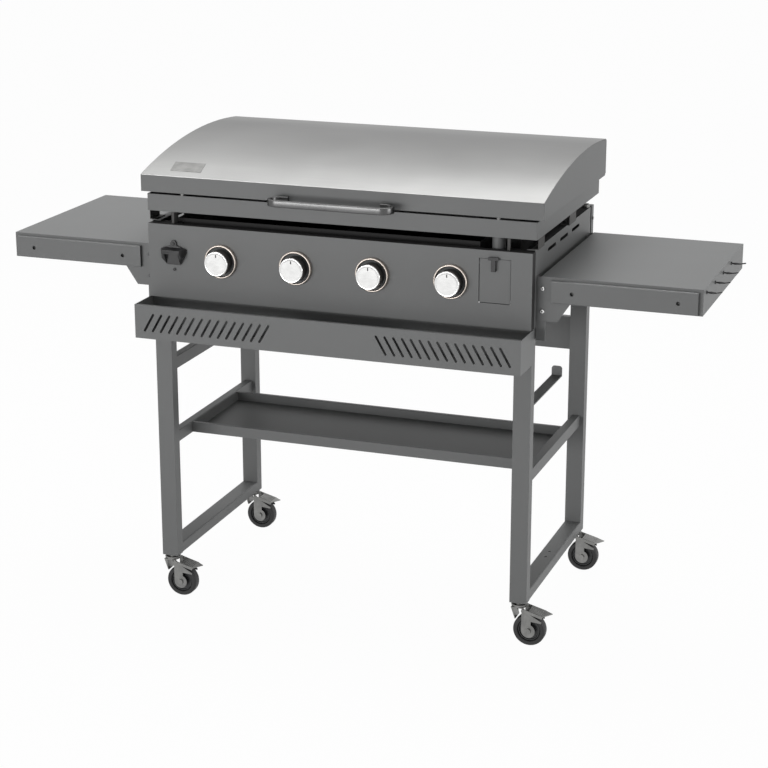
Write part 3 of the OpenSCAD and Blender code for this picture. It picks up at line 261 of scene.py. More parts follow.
# Tyres: black rubber, matt
wheelRubber = mouldedRubber("mouldedTyreRubber", {
    "dark": "#0c0c0d", "light": "#151516", "roughness": 0.55, "glossSpread": 0.08,
    "grainMm": 0.8, "dustMm": 14, "reliefStrength": 0.2, "grainDepthMm": 0.05})
# Handle bar: brushed steel under a smoked lacquer, darker than the lid
satinBar = linedMetal("smokedLacquerSteel", {
    "dark": "#545454", "light": "#606060", "roughness": 0.28, "glossSpread": 0.03, "cloudMm": 60,
    "along": "X", "lineMm": 2, "lineLengthMm": 30, "reliefStrength": 0.02, "lineDepthMm": 0.01})
# Lid stops: silicone, pale grey and matt
paleRubber = mouldedRubber("paleSiliconeRubber", {
    "dark": "#8b8b8a", "light": "#969695", "roughness": 0.6, "glossSpread": 0.05,
    "grainMm": 0.8, "dustMm": 14, "reliefStrength": 0.1, "grainDepthMm": 0.03})
# Wheel centres: moulded polypropylene, nearly black, smooth and a little glossy
wheelPlastic = powderCoat("mouldedPolypropylene", {
    "dark": "#333435", "light": "#3c3d3e", "roughness": 0.38, "glossSpread": 0.04, "cloudMm": 20,
    "peelMm": 0.8, "reliefStrength": 0.08, "peelDepthMm": 0.03})
print("materials made:", len(bpy.data.materials))


# Shared ways of making pieces

def addPiece(name, mesh, body, replaced=()):
    piece = bpy.data.objects.new(name, mesh)
    bpy.context.scene.collection.objects.link(piece)
    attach(piece, body)
    if replaced:
        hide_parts(*replaced)


def camelName(node):
    first, *rest = node.split("_")
    return first + "".join(word.capitalize() for word in rest)


# A piece that takes its solid's place
def replaceSolid(node, mesh):
    addPiece(camelName(node), mesh, bodyOf[node], [node])


shellLook = {"mergeMm": 0.002, "flatDegrees": 0.4, "sharpDegrees": 32, "segments": 2, "flatWeight": 90}


def mergedShell(node):
    shell = bmesh.new()
    shell.from_mesh(cadNodes[node].data)
    bmesh.ops.remove_doubles(shell, verts=shell.verts, dist=shellLook["mergeMm"] * mm)
    return shell


# Low and high corners of each separate solid of a node, from left to right, front to back
def solidsOf(node):
    shell = mergedShell(node)
    waiting = set(shell.verts)
    found = []
    while waiting:
        group = [waiting.pop()]
        for vert in group:
            near = {edge.other_vert(vert) for edge in vert.link_edges} & waiting
            waiting -= near
            group.extend(near)
        found.append(tuple(Vector(end(v.co[i] for v in group) for i in range(3)) for end in (min, max)))
    shell.free()
    return sorted(found, key=lambda pair: tuple(pair[0]))


# A modifier's result as a plain mesh; the helper object goes away again
def meshFrom(name, mesh, addModifiers):
    raw = bpy.data.objects.new(name, mesh)
    bpy.context.scene.collection.objects.link(raw)
    addModifiers(raw)
    result = bpy.data.meshes.new_from_object(raw.evaluated_get(bpy.context.evaluated_depsgraph_get()))
    bpy.data.objects.remove(raw)
    result.name = name
    return result


# The shell as a mesh; the shell itself goes away
def meshOf(name, shell):
    mesh = bpy.data.meshes.new(name)
    shell.to_mesh(mesh)
    shell.free()
    return mesh


# Smooth shading, broken where two faces meet at more than an angle
def shadeSmooth(mesh, sharpDegrees):
    mesh.shade_smooth()
    mesh.set_sharp_from_angle(angle=math.radians(sharpDegrees))
    return mesh


# Sheet metal and castings keep their solid's shape and get the small radius that bending and coating leave
def softened(node, edgeMm):
    shell = mergedShell(node)
    bmesh.ops.dissolve_limit(
        shell, angle_limit=math.radians(shellLook["flatDegrees"]), use_dissolve_boundaries=False,
        verts=shell.verts, edges=shell.edges)
    mesh = meshOf(camelName(node), shell)
    mesh.shade_smooth()

    def addModifiers(raw):
        bevel = raw.modifiers.new("edgeRadius", "BEVEL")
        bevel.width = edgeMm * mm
        bevel.segments = shellLook["segments"]
        bevel.limit_method = "ANGLE"
        bevel.angle_limit = math.radians(shellLook["sharpDegrees"])
        bevel.miter_outer = "MITER_ARC"
        flats = raw.modifiers.new("flatFaces", "WEIGHTED_NORMAL")
        flats.weight = shellLook["flatWeight"]
        flats.keep_sharp = True

    return meshFrom(camelName(node), mesh, addModifiers)


# The first finish covers the piece; the others take the faces that their test picks by centre and normal
def paint(mesh, first, *others):
    mesh.materials.clear()
    mesh.materials.append(first)
    for index, (material, picks) in enumerate(others, 1):
        mesh.materials.append(material)
        for face in mesh.polygons:
            if picks(face.center, face.normal):
                face.material_index = index
    return mesh


turnedLook = {"steps": 72, "ringSteps": 96, "bendSteps": 6, "sharpDegrees": 35}

# Sine and cosine through a quarter turn, for the rolled rims and shoulders of turned pieces
quarters = [math.pi / 2 * k / turnedLook["bendSteps"] for k in range(turnedLook["bendSteps"] + 1)]
quarterTurn = [(math.sin(angle), math.cos(angle)) for angle in quarters]


# A turned piece: a closed outline of (radius, distance) pairs in millimetres, carried round an axis
def turned(name, outline, centre, axis, steps=turnedLook["steps"]):
    shell = bmesh.new()
    turn = Vector(axis).to_track_quat("Z", "Y")
    circle = [(math.cos(math.tau * k / steps), math.sin(math.tau * k / steps)) for k in range(steps)]
    rings = []
    for radius, distance in outline:
        rings.append([
            shell.verts.new(Vector(centre) + turn @ Vector((radius * mm * x, radius * mm * y, distance * mm)))
            for x, y in (circle if radius > 0 else circle[:1])])
    # An outline that starts and ends on the axis needs no band from its last ring back to its first
    bands = len(rings) - (1 if len(rings[0]) == 1 else 0)
    for index in range(bands):
        lower, upper = rings[index], rings[(index + 1) % len(rings)]
        for k in range(steps):
            corners = [lower[k % len(lower)], lower[(k + 1) % len(lower)],
                       upper[(k + 1) % len(upper)], upper[k % len(upper)]]
            shell.faces.new(list(dict.fromkeys(corners)))
    bmesh.ops.recalc_face_normals(shell, faces=shell.faces)
    return shadeSmooth(meshOf(name, shell), turnedLook["sharpDegrees"])


def mirroredSide(outline):
    return [(radius, -distance) for radius, distance in reversed(outline)]


def roundEdges(shell, edgeMm):
    bmesh.ops.bevel(shell, geom=shell.edges, offset=edgeMm * mm, segments=2, profile=0.5, affect="EDGES")


# A small plate with rounded edges: centre, and half sizes in millimetres
def slab(name, centre, half, edgeMm):
    shell = bmesh.new()
    bmesh.ops.create_cube(shell, size=2)
    for vert in shell.verts:
        vert.co = Vector(centre) + Vector(vert.co[i] * half[i] * mm for i in range(3))
    roundEdges(shell, edgeMm)
    return meshOf(name, shell)


def joined(name, meshes):
    shell = bmesh.new()
    materials = []
    for mesh in meshes:
        start = len(shell.faces)
        shell.from_mesh(mesh)
        shell.faces.ensure_lookup_table()
        for face in shell.faces[start:]:
            material = mesh.materials[face.material_index]
            if material not in materials:
                materials.append(material)
            face.material_index = materials.index(material)
    result = meshOf(name, shell)
    for material in materials:
        result.materials.append(material)
    return result


# Geometry Nodes trees: each sets its materials and ends in Realize Instances

def startTree(name, sizes):
    tree = bpy.data.node_groups.new(name, "GeometryNodeTree")
    tree.interface.new_socket("Geometry", in_out="INPUT", socket_type="NodeSocketGeometry")
    tree.interface.new_socket("Geometry", in_out="OUTPUT", socket_type="NodeSocketGeometry")
    for label in sizes:
        tree.interface.new_socket(label, in_out="INPUT", socket_type="NodeSocketFloat")
    return tree, addNode(tree, "NodeGroupInput", {})


def endTree(tree, geometry):
    whole = addNode(tree, "GeometryNodeRealizeInstances", {"Geometry": geometry})
    addNode(tree, "NodeGroupOutput", {"Geometry": whole.outputs[0]})
    return tree


# The tree's result on a mesh of points or edges, with its sizes set before it is first evaluated
def grown(name, tree, mesh, sizes):
    socketOf = {item.name: item.identifier for item in tree.interface.items_tree if item.in_out == "INPUT"}

    def addModifiers(raw):
        nodes = raw.modifiers.new("nodes", "NODES")
        nodes.node_group = tree
        for label, value in sizes.items():
            nodes[socketOf[label]] = value

    return meshFrom(name, mesh, addModifiers)


def pointMesh(name, places, edges=()):
    mesh = bpy.data.meshes.new(name)
    mesh.from_pydata([tuple(place) for place in places], list(edges), [])
    return mesh


screwShape = {
    # Foot radius and top radius, as shares of the head's, and the heights they run between
    "layers": ((1.0, 0.93, 0.0, 0.45), (0.93, 0.75, 0.45, 0.8), (0.75, 0.5, 0.8, 1.0)),
    "sides": 24,
    "socketSides": 6,
    "socketShare": 0.42,
    "socketLiftShare": 0.54,
}


# Button-head screws: a stepped dome with a black hexagon set into its top as the painted shade of the socket,
# stood on each point
def makeScrewTree(metal, dark):
    tree, given = startTree("screwHeads", ("Head diameter", "Head height", "Tilt"))
    height = given.outputs["Head height"]
    radius = addNode(tree, "ShaderNodeMath", {
        "operation": "MULTIPLY", 0: given.outputs["Head diameter"], 1: 0.5}).outputs[0]
    dome = addNode(tree, "GeometryNodeJoinGeometry", {})
    for foot, top, low, high in screwShape["layers"]:
        footRadius, topRadius, depth, lift = [
            addNode(tree, "ShaderNodeMath", {"operation": "MULTIPLY", 0: size, 1: share}).outputs[0]
            for size, share in ((radius, foot), (radius, top), (height, high - low), (height, low))]
        cone = addNode(tree, "GeometryNodeMeshCone", {
            "Vertices": screwShape["sides"], "Radius Top": topRadius, "Radius Bottom": footRadius,
            "Depth": depth})
        raised = addNode(tree, "ShaderNodeCombineXYZ", {"Z": lift})
        layer = addNode(tree, "GeometryNodeTransform", {
            "Geometry": cone.outputs[0], "Translation": raised.outputs[0]})
        tree.links.new(layer.outputs[0], dome.inputs[0])
    shiny = addNode(tree, "GeometryNodeSetMaterial", {"Geometry": dome.outputs[0], "Material": metal})
    socketRadius, socketLift = [
        addNode(tree, "ShaderNodeMath", {"operation": "MULTIPLY", 0: size, 1: share}).outputs[0]
        for size, share in ((radius, screwShape["socketShare"]), (height, screwShape["socketLiftShare"]))]
    socket = addNode(tree, "GeometryNodeMeshCylinder", {
        "Vertices": screwShape["socketSides"], "Radius": socketRadius, "Depth": height})
    raised = addNode(tree, "ShaderNodeCombineXYZ", {"Z": socketLift})
    lifted = addNode(tree, "GeometryNodeTransform", {
        "Geometry": socket.outputs[0], "Translation": raised.outputs[0]})
    # painted shade: a black hexagon stands for the socket's recess
    socketShade = addNode(tree, "GeometryNodeSetMaterial", {"Geometry": lifted.outputs[0], "Material": dark})
    head = addNode(tree, "GeometryNodeJoinGeometry", {})
    tree.links.new(shiny.outputs[0], head.inputs[0])
    tree.links.new(socketShade.outputs[0], head.inputs[0])
    tilt = addNode(tree, "ShaderNodeCombineXYZ", {"X": given.outputs["Tilt"]})
    tilted = addNode(tree, "GeometryNodeTransform", {
        "Geometry": head.outputs[0], "Rotation": tilt.outputs[0]})
    placed = addNode(tree, "GeometryNodeInstanceOnPoints", {
        "Points": given.outputs["Geometry"], "Instance": tilted.outputs[0]})
    return endTree(tree, placed.outputs[0])


barShape = {"bendSteps": 12, "edgeSteps": 5, "sharpDegrees": 50}


# A bar of rectangular section with rounded edges, swept along the mesh's edges with filleted bends
def makeBarTree(material):
    tree, given = startTree("sweptBar", ("Bar height", "Bar thickness", "Edge radius", "Bend radius"))
    path = addNode(tree, "GeometryNodeMeshToCurve", {"Mesh": given.outputs["Geometry"]})
    bent = addNode(tree, "GeometryNodeFilletCurve", {
        "mode": "POLY", "Curve": path.outputs[0], "Count": barShape["bendSteps"],
        "Radius": given.outputs["Bend radius"]})
    section = addNode(tree, "GeometryNodeCurvePrimitiveQuadrilateral", {
        "Width": given.outputs["Bar thickness"], "Height": given.outputs["Bar height"]})
    rounded = addNode(tree, "GeometryNodeFilletCurve", {
        "mode": "POLY", "Curve": section.outputs[0], "Count": barShape["edgeSteps"],
        "Radius": given.outputs["Edge radius"]})
    bar = addNode(tree, "GeometryNodeCurveToMesh", {
        "Curve": bent.outputs[0], "Profile Curve": rounded.outputs[0], "Fill Caps": True})
    coated = addNode(tree, "GeometryNodeSetMaterial", {"Geometry": bar.outputs[0], "Material": material})
    return endTree(tree, coated.outputs[0])


def sweptBar(name, tree, places, sizes):
    path = pointMesh(name + "Path", places, [(k, k + 1) for k in range(len(places) - 1)])
    return shadeSmooth(grown(name, tree, path, sizes), barShape["sharpDegrees"])


# Ribs laid side by side, one on each point
def makeRibTree(material):
    tree, given = startTree("treadRibs", ("Rib length", "Rib width", "Rib height", "Slope"))
    size = addNode(tree, "ShaderNodeCombineXYZ", {
        "X": given.outputs["Rib width"], "Y": given.outputs["Rib length"],
        "Z": given.outputs["Rib height"]})
    rib = addNode(tree, "GeometryNodeMeshCube", {"Size": size.outputs[0]})
    slope = addNode(tree, "ShaderNodeCombineXYZ", {"Y": given.outputs["Slope"]})
    placed = addNode(tree, "GeometryNodeInstanceOnPoints", {
        "Points": given.outputs["Geometry"], "Instance": rib.outputs[0], "Rotation": slope.outputs[0]})
    plated = addNode(tree, "GeometryNodeSetMaterial", {"Geometry": placed.outputs[0], "Material": material})
    return endTree(tree, plated.outputs[0])


chromeScrewTree = makeScrewTree(chromePlate, blackPowder)
paintedScrewTree = makeScrewTree(greyPowder, blackPowder)
handleTree = makeBarTree(satinBar)
# the rails' rolls take the lighter coat, a painted highlight
rollTree = makeBarTree(highlightedPowder)
ribTree = makeRibTree(zincPlate)
print("node trees made:", len(bpy.data.node_groups))


# Pieces that keep their solid's form; finish and edge radius follow the slot unless the node is named below

finishOf = {
    "grey_powder_coat": greyPowder,
    "brushed_stainless": lidStainless,
    "plain_steel": millSteel,
    "valve_brass": turnedBrass,
    "bright_chrome": chromePlate,
    "black_coat": blackPowder,
    "zinc_plate": zincPlate,
}
edgeRadiiMm = {
    "grey_powder_coat": 0.7,
    "brushed_stainless": 0.5,
    "plain_steel": 0.3,
    "valve_brass": 0.3,
    "bright_chrome": 0.4,
    "black_coat": 0.6,
    "zinc_plate": 0.35,
}
ownFinish = {
    "bottle_opener": openerEnamel,
    # heat shield and burners: near black, partly soot and partly painted shade
    "heat_shield": sootAndShadeSteel,
    "burner_tubes": sootAndShadeSteel,
    # griddle feet: darker coat as painted shade
    "griddle_feet": shadedFeetPowder,
    "lid_bumpers": paleRubber,
}
ownRadiiMm = {"front_trough": 1.0, "side_panel_left": 0.9, "side_panel_right": 0.9}
knobNodes = [f"knob_{number}" for number in (1, 2, 3, 4)]
wheelNodes = sorted(node for node in cadNodes if node.startswith("caster_wheel"))
pedalNodes = sorted(node for node in cadNodes if node.startswith("brake_pedal"))
madeApart = {"knob_bezels", "lid_handle", "griddle_plate", "panel_screws", "table_bolts", "drawer_front",
             "table_front_rails", *knobNodes, *wheelNodes}

# A face looks a way when its normal reaches this far along that way's axis
looksInward, looksUp, looksDown = -0.5, 0.7, -0.9

# Faces of these two panels that look into the burner box are painted near black: soot, and painted shade of
# the box's dark inside
panelSheetMm = 3
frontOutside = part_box("front_panel")[0].y
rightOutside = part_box("side_panel_right")[1].x
facesSootAndShade = {
    "front_panel": lambda centre, normal: centre.y > frontOutside + panelSheetMm * mm,
    "side_panel_right": lambda centre, normal: normal.x < looksInward or (
        normal.z > looksUp and centre.x < rightOutside - panelSheetMm * mm),
}

for node in sorted(set(cadNodes) - madeApart):
    mesh = softened(node, ownRadiiMm.get(node, edgeRadiiMm[slotOf[node]]))
    finish = ownFinish.get(node, finishOf[slotOf[node]])
    burnt = [(sootAndShadeSteel, facesSootAndShade[node])] if node in facesSootAndShade else []
    replaceSolid(node, paint(mesh, finish, *burnt))
print("softened pieces made")


# Griddle: painted outside, seasoned steel inside the walls, sooty underneath

griddleLook = {"wallMm": 2.5, "plateTopMm": 948.3, "plateThickMm": 5, "marginMm": 1, "edgeMm": 0.9}


def makeGriddle():
    low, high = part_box("griddle_plate")
    wall, margin = griddleLook["wallMm"] * mm, griddleLook["marginMm"]
    plateTop = griddleLook["plateTopMm"]
    plateUnder = plateTop - griddleLook["plateThickMm"]

    def withinWalls(centre):
        return low.x + wall < centre.x < high.x - wall and low.y + wall < centre.y < high.y - wall

    def isCookingSide(centre, normal):
        return withinWalls(centre) and centre.z > (plateTop - margin) * mm

    def isUnderside(centre, normal):
        return withinWalls(centre) and normal.z < looksDown and centre.z > (plateUnder - 2 * margin) * mm

    mesh = softened("griddle_plate", griddleLook["edgeMm"])
    replaceSolid("griddle_plate", paint(
        mesh, greyPowder, (seasonedSteel, isCookingSide), (sootAndShadeSteel, isUnderside)))


makeGriddle()


# Drawer front: its sheet folds back along the foot, so that no light comes through the gap below it

drawerLook = {
    "edgeMm": 0.9,
    "foldMm": 16,
    "foldSheetMm": 1.2,
    "foldEdgeMm": 0.3,
    "belowMm": 1.2,  # how far the fold reaches below the sheet
    "behindMm": 0.6,  # how far it stays behind the sheet's face
    "sideMm": 1,  # how far it stops short of each side
}


def makeDrawerFront():
    low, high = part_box("drawer_front")
    deep, thick = drawerLook["foldMm"] / 2, drawerLook["foldSheetMm"] / 2
    half = ((high.x - low.x) / 2 / mm - drawerLook["sideMm"], deep, thick)
    middle = Vector((
        (low.x + high.x) / 2,
        low.y + (deep + drawerLook["behindMm"]) * mm,
        low.z - (drawerLook["belowMm"] - thick) * mm))
    plate = paint(softened("drawer_front", drawerLook["edgeMm"]), greyPowder)
    # the fold is painted near black, painted shade in the gap below the door
    fold = paint(slab("fold", middle, half, drawerLook["foldEdgeMm"]), sootAndShadeSteel)
    replaceSolid("drawer_front", joined("drawerFront", [plate, fold]))


makeDrawerFront()


# Knobs: bright dished cap with a rolled rim and a dark mark, black side

knobLook = {
    "capDepthMm": 3.4,
    "rimMm": 2.2,
    "dishMm": 1.2,
    "dishStepMm": 1,  # the dish rises to the rim over this width
    "dishStepShare": 0.4,  # depth that is left of the dish at the rim
    "sideInMm": 0.25,
    "lengthMm": 27,
    "wallMm": 3,
    "hubMm": 7,
    "stemMm": 3,
    "markWidthMm": 2.4,
    "markLengthMm": 7,
    "markHeightMm": 1,
    "markInMm": 6.5,
    "markEdgeMm": 0.3,
}


def makeKnob(node):
    low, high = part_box(node)
    face = Vector(((low.x + high.x) / 2, low.y, (low.z + high.z) / 2))
    radius, reach = (high.x - low.x) / 2 / mm, (high.y - low.y) / mm
    rim, dish, wall, length = (knobLook[k] for k in ("rimMm", "dishMm", "wallMm", "lengthMm"))
    cap, hub, stem = (knobLook[k] for k in ("capDepthMm", "hubMm", "stemMm"))
    side, dishEdge = radius - knobLook["sideInMm"], radius - 2 * rim
    bright = [(0, dish), (dishEdge - knobLook["dishStepMm"], dish),
              (dishEdge, dish * knobLook["dishStepShare"])]
    roll = [(radius - rim + rim * s, rim - rim * c) for s, c in quarterTurn]
    skirt = [(radius, cap), (side, cap + knobLook["sideInMm"]), (side, length), (radius - wall, length)]
    inside = [(radius - wall, wall + dish), (hub, wall + dish), (hub, length), (stem, length), (stem, reach),
              (0, reach)]
    capEnd = face.y + cap * mm
    body = paint(turned("knob", bright + roll + skirt + inside, face, (0, 1, 0)), blackPowder,
                 (chromePlate, lambda centre, normal: centre.y < capEnd))
    markUp = radius - knobLook["markInMm"] - knobLook["markLengthMm"] / 2
    half = [knobLook[k] / 2 for k in ("markWidthMm", "markHeightMm", "markLengthMm")]
    mark = slab("knobMark", face + Vector((0, dish * mm, markUp * mm)), half, knobLook["markEdgeMm"])
    replaceSolid(node, joined(camelName(node), [body, paint(mark, blackPowder)]))


for node in knobNodes:
    makeKnob(node)


# Bezels: a rolled nickel ring round each knob over a painted dish

bezelLook = {
    "widerMm": 1.5,
    "ringMm": 4.4,
    "ringHeightMm": 9.5,
    "dishMm": 1.6,
    "dishEdgeMm": 3.84,
    "dishRunMm": 5,
    "dishHoleMm": 8.2,
    "underRingMm": 0.1,
    "bowSteps": 10,
}


def makeBezels():
    ring, height = bezelLook["ringMm"], bezelLook["ringHeightMm"]
    dish, hole = bezelLook["dishMm"], bezelLook["dishHoleMm"]
    halves = [math.pi * k / bezelLook["bowSteps"] for k in range(bezelLook["bowSteps"] + 1)]
    bow = [(math.cos(angle), math.sin(angle)) for angle in halves]
    rounds = []
    for low, high in solidsOf("knob_bezels"):
        centre = Vector(((low.x + high.x) / 2, high.y, (low.z + high.z) / 2))
        radius = (high.x - low.x) / 2 / mm + bezelLook["widerMm"]
        inner = radius - ring
        crown = [(radius - ring / 2 + ring / 2 * c, height - ring / 2 + ring / 2 * s) for c, s in bow]
        rounds.append(paint(turned("bezelRing", [(radius, 0)] + crown + [(inner, 0)], centre, (0, -1, 0),
                                   turnedLook["ringSteps"]), nickelPlate))
        edge = inner + bezelLook["underRingMm"]
        rounds.append(paint(turned("bezelDish", [
            (hole, 0), (edge, 0), (edge, bezelLook["dishEdgeMm"]), (inner - bezelLook["dishRunMm"], dish),
            (hole, dish)], centre, (0, -1, 0)), greyPowder))
    replaceSolid("knob_bezels", joined("knobBezels", rounds))


makeBezels()
print("griddle, drawer front, knobs and bezels made")


# Lid handle: a flat bar with round edges, bent back to its spacers at both ends

handleLook = {"thicknessMm": 7.0, "edgeMm": 2.2, "forwardMm": 10, "bendMm": 24, "footMm": 12}


def makeHandle():
    low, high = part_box("lid_handle")
    half = handleLook["thicknessMm"] / 2 * mm
    level = (low.z + high.z) / 2
    middle = (low.x + high.x) / 2
    reach = high.x - middle - half
    back = high.y - half
    front = low.y + half - handleLook["forwardMm"] * mm
    foot = reach - (handleLook["bendMm"] + handleLook["footMm"]) * mm
    corners = ((-foot, back), (-reach, back), (-reach, front), (reach, front), (reach, back), (foot, back))
    replaceSolid("lid_handle", sweptBar(
        "lidHandle", handleTree, [(middle + x, y, level) for x, y in corners], {
            "Bar height": high.z - low.z, "Bar thickness": 2 * half,
            "Edge radius": handleLook["edgeMm"] * mm, "Bend radius": handleLook["bendMm"] * mm}))


makeHandle()


# Front rails of the tables: the sheet is rolled over along its top edge

railLook = {"sheetEdgeMm": 1.0, "rollMm": 6, "rollEdgeMm": 2.8, "endMm": 3}


def makeRails():
    half, end = railLook["rollMm"] / 2 * mm, railLook["endMm"] * mm
    pieces = [paint(softened("table_front_rails", railLook["sheetEdgeMm"]), greyPowder)]
    for low, high in solidsOf("table_front_rails"):
        places = [(x, low.y + half, high.z - half) for x in (low.x + end, high.x - end)]
        pieces.append(sweptBar("roll", rollTree, places, {
            "Bar height": 2 * half, "Bar thickness": 2 * half, "Edge radius": railLook["rollEdgeMm"] * mm,
            "Bend radius": 0.0}))
    replaceSolid("table_front_rails", joined("tableFrontRails", pieces))


makeRails()


# Badge plate on the lid, left bare; its corners are dropped onto the sheet from above

badgeLook = {
    "leftMm": -433,
    "rightMm": -357,
    "frontMm": -207.5,
    "backMm": -163.5,
    "slantMm": 7,
    "thickMm": 1.2,
    "sunkMm": 0.24,
    "edgeMm": 0.5,
    "dropFromM": 2,
}


def makeBadge():
    lid = bmesh.new()
    lid.from_mesh(cadNodes["lid_skin"].data)
    tree = BVHTree.FromBMesh(lid)
    lid.free()
    slant = badgeLook["slantMm"] / 2
    left, right, front, back = (badgeLook[k] for k in ("leftMm", "rightMm", "frontMm", "backMm"))
    corners = ((left + slant, front), (right + slant, front), (right - slant, back), (left - slant, back))
    places = []
    for riseMm in (-badgeLook["sunkMm"], badgeLook["thickMm"]):
        for x, y in corners:
            hit = tree.ray_cast(Vector((x * mm, y * mm, badgeLook["dropFromM"])), Vector((0, 0, -1)))[0]
            places.append(tuple(hit + Vector((0, 0, riseMm * mm))))
    block = bpy.data.meshes.new("badgeBlock")
    block.from_pydata(places, [], [
        (3, 2, 1, 0), (4, 5, 6, 7), (0, 1, 5, 4), (1, 2, 6, 5), (2, 3, 7, 6), (3, 0, 4, 7)])
    plate = bmesh.new()
    plate.from_mesh(block)
    roundEdges(plate, badgeLook["edgeMm"])
    addPiece("badgePlate", paint(meshOf("badgePlate", plate), zincPlate), "lid")


makeBadge()
print("handle, rails and badge plate made")


# Screws and bolts: the solids keep their shanks and nuts, the heads grow on their places

screwLook = {
    "boltHeadMm": 11,
    "boltHeightMm": 4.2,
    "boltEdgeMm": 0.3,
    "screwEdgeMm": 0.4,
    "openerScrewsBeforeMm": -200,
}


def makeTableBolts():
    height = screwLook["boltHeightMm"] * mm
    fronts, backs = [], []
    for low, high in solidsOf("table_bolts"):
        x, z = (low.x + high.x) / 2, (low.z + high.z) / 2
        if low.y < 0:
            fronts.append((x, low.y + height, z))
        else:
            backs.append((x, high.y - height, z))
    quarter = math.pi / 2
    groups = (
        (chromeScrewTree, [place for place in fronts if place[0] > 0], quarter),
        (paintedScrewTree, [place for place in fronts if place[0] < 0], quarter),
        (paintedScrewTree, backs, -quarter))
    sizes = {"Head diameter": screwLook["boltHeadMm"] * mm, "Head height": height}
    heads = [grown("boltHeads", tree, pointMesh("places", places), {**sizes, "Tilt": tilt})
             for tree, places, tilt in groups]
    shanks = paint(softened("table_bolts", screwLook["boltEdgeMm"]), greyPowder)
    replaceSolid("table_bolts", joined("tableBolts", [shanks] + heads))


# The opener's two screws, at the front, are black; the others are zinc plated
def makePanelScrews():
    before = screwLook["openerScrewsBeforeMm"] * mm
    mesh = softened("panel_screws", screwLook["screwEdgeMm"])
    replaceSolid("panel_screws", paint(
        mesh, zincPlate, (blackPowder, lambda centre, normal: centre.y < before)))


makeTableBolts()
makePanelScrews()


# Wheels: a tyre with rounded shoulders on a dark moulded centre with a raised ring

wheelLook = {
    "tyreInMm": 2.5,  # the tyre stands in from the hub's ends
    "shoulderMm": 5,
    "rimShare": 0.7,
    "rimChamferMm": 1.5,
    "boreMm": 4.2,
    "hubMm": 11,
    "hubSlopeMm": 0.6,
    "webMm": 5,
    "ringShare": 0.62,
    "ringSlopeMm": 1,
    "ringHeightMm": 3.4,
    "ringWidthMm": 1.6,
    "underTyreMm": 0.4,
    "rimStepMm": 1,
}


def makeWheel(node):
    low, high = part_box(node)
    centre = (low + high) / 2
    radius, hubEnd = (high.z - low.z) / 2 / mm, (high.y - low.y) / 2 / mm
    half = hubEnd - wheelLook["tyreInMm"]
    rim, ringFoot = radius * wheelLook["rimShare"], radius * wheelLook["ringShare"]
    chamfer, shoulder = wheelLook["rimChamferMm"], wheelLook["shoulderMm"]
    tyreSide = [(rim, half - chamfer), (rim + chamfer, half)] + [
        (radius - shoulder + shoulder * s, half - shoulder + shoulder * c) for s, c in quarterTurn]
    tyre = turned("tyre", tyreSide + mirroredSide(tyreSide), centre, (0, 1, 0))
    web, hub = wheelLook["webMm"], wheelLook["hubMm"]
    ringTop = web + wheelLook["ringHeightMm"]
    coreSide = [
        (wheelLook["boreMm"], hubEnd), (hub, hubEnd), (hub + wheelLook["hubSlopeMm"], web),
        (ringFoot - wheelLook["ringSlopeMm"], web), (ringFoot, ringTop),
        (ringFoot + wheelLook["ringWidthMm"], ringTop),
        (rim + wheelLook["underTyreMm"], web + wheelLook["rimStepMm"])]
    core = turned("wheelCentre", coreSide + mirroredSide(coreSide), centre, (0, 1, 0))
    replaceSolid(node, joined(camelName(node), [paint(tyre, wheelRubber), paint(core, wheelPlastic)]))


for node in wheelNodes:
    makeWheel(node)


# Ribs across each brake pedal's tread, counted from the pedal's pin

treadLook = {
    "slopeDegrees": 15,
    "pinOutMm": 4.5,
    "firstMm": 15,
    "pitchMm": 4.4,
    "ribs": 7,
    "liftMm": 4.2,
    "lengthMm": 34,
    "widthMm": 2,
    "heightMm": 1.6,
}


def makeTreads(node):
    low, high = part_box(node)
    pinOut, lift = treadLook["pinOutMm"] * mm, treadLook["liftMm"] * mm
    pin = Vector((low.x + pinOut, (low.y + high.y) / 2, high.z - pinOut))
    slope = math.radians(treadLook["slopeDegrees"])
    places = []
    for k in range(treadLook["ribs"]):
        run = (treadLook["firstMm"] + k * treadLook["pitchMm"]) * mm
        places.append(pin + Vector((
            run * math.cos(slope) + lift * math.sin(slope), 0,
            lift * math.cos(slope) - run * math.sin(slope))))
    name = camelName(node) + "Ribs"
    mesh = grown(name, ribTree, pointMesh("places", places), {
        "Rib length": treadLook["lengthMm"] * mm, "Rib width": treadLook["widthMm"] * mm,
        "Rib height": treadLook["heightMm"] * mm, "Slope": slope})
    addPiece(name, mesh, bodyOf[node])


for node in pedalNodes:
    makeTreads(node)
print("screws, wheels and pedal ribs made")


# Floor, light and background

studio = {
    "floorColour": "#ececec",
    "floorGlow": 0.975,
    "floorM": 40,
    "fillStrength": 0.24,
    "aimHeightM": 0.6,
    "lamps": (
        {"name": "keyLamp", "place": (-1.4, -4.3, 0.85), "wideM": 2.6, "tallM": 0.7, "watts": 64},
        {"name": "rightLamp", "place": (4.2, -0.6, 0.75), "wideM": 2.0, "tallM": 1.2, "watts": 39},
        {"name": "topLamp", "place": (-0.5, 0.9, 3.8), "wideM": 3.0, "tallM": 2.4, "watts": 75},
    ),
}


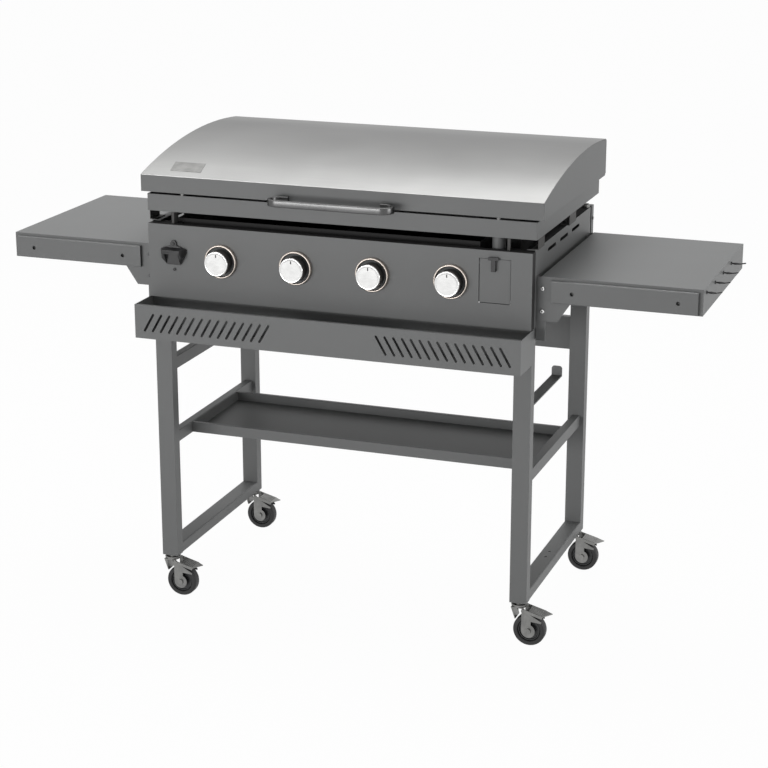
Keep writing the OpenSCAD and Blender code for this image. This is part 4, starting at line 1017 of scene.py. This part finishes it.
# 1 where the camera or a mirror image sees the background itself, so that it stays white there
def seenDirectly(tree):
    path = addNode(tree, "ShaderNodeLightPath", {})
    mirror = addNode(tree, "ShaderNodeMath", {
        "operation": "MAXIMUM", 0: path.outputs["Is Camera Ray"], 1: path.outputs["Is Glossy Ray"]})
    return addNode(tree, "ShaderNodeMath", {
        "operation": "MAXIMUM", 0: mirror.outputs[0], 1: path.outputs["Is Transmission Ray"]}).outputs[0]


def makeFloor(settings):
    material = bpy.data.materials.new("paleStudioFloor")
    material.use_nodes = True
    tree = material.node_tree
    tree.nodes.clear()
    matt = addNode(tree, "ShaderNodeBsdfDiffuse", {"Color": hexLinear(settings["floorColour"])})
    glow = addNode(tree, "ShaderNodeEmission", {"Strength": 1.0})
    share = addNode(tree, "ShaderNodeMath", {
        "operation": "MULTIPLY", 0: seenDirectly(tree), 1: settings["floorGlow"]})
    mixed = addNode(tree, "ShaderNodeMixShader", {
        0: share.outputs[0], 1: matt.outputs[0], 2: glow.outputs[0]})
    addNode(tree, "ShaderNodeOutputMaterial", {"Surface": mixed.outputs[0]})
    bpy.ops.mesh.primitive_plane_add(size=settings["floorM"], location=(0, 0, 0))
    floor = bpy.context.object
    floor.name = "studioFloor"
    floor.data.materials.append(material)


def makeBackground(settings):
    world = bpy.data.worlds.new("studioWorld")
    world.use_nodes = True
    tree = world.node_tree
    tree.nodes.clear()
    fill, white = [
        addNode(tree, "ShaderNodeBackground", {"Color": (1, 1, 1, 1), "Strength": strength})
        for strength in (settings["fillStrength"], 1.0)]
    mixed = addNode(tree, "ShaderNodeMixShader", {
        0: seenDirectly(tree), 1: fill.outputs[0], 2: white.outputs[0]})
    addNode(tree, "ShaderNodeOutputWorld", {"Surface": mixed.outputs[0]})
    bpy.context.scene.world = world


def makeLamps(settings):
    for lamp in settings["lamps"]:
        data = bpy.data.lights.new(lamp["name"], "AREA")
        data.shape = "RECTANGLE"
        data.energy = lamp["watts"]
        data.size = lamp["wideM"]
        data.size_y = lamp["tallM"]
        light = bpy.data.objects.new(lamp["name"], data)
        light.location = lamp["place"]
        aim = Vector((0, 0, settings["aimHeightM"])) - light.location
        light.rotation_euler = aim.to_track_quat("-Z", "Y").to_euler()
        bpy.context.scene.collection.objects.link(light)


makeFloor(studio)
makeBackground(studio)
makeLamps(studio)
bpy.context.scene.view_settings.view_transform = "Standard"
print("studio made")
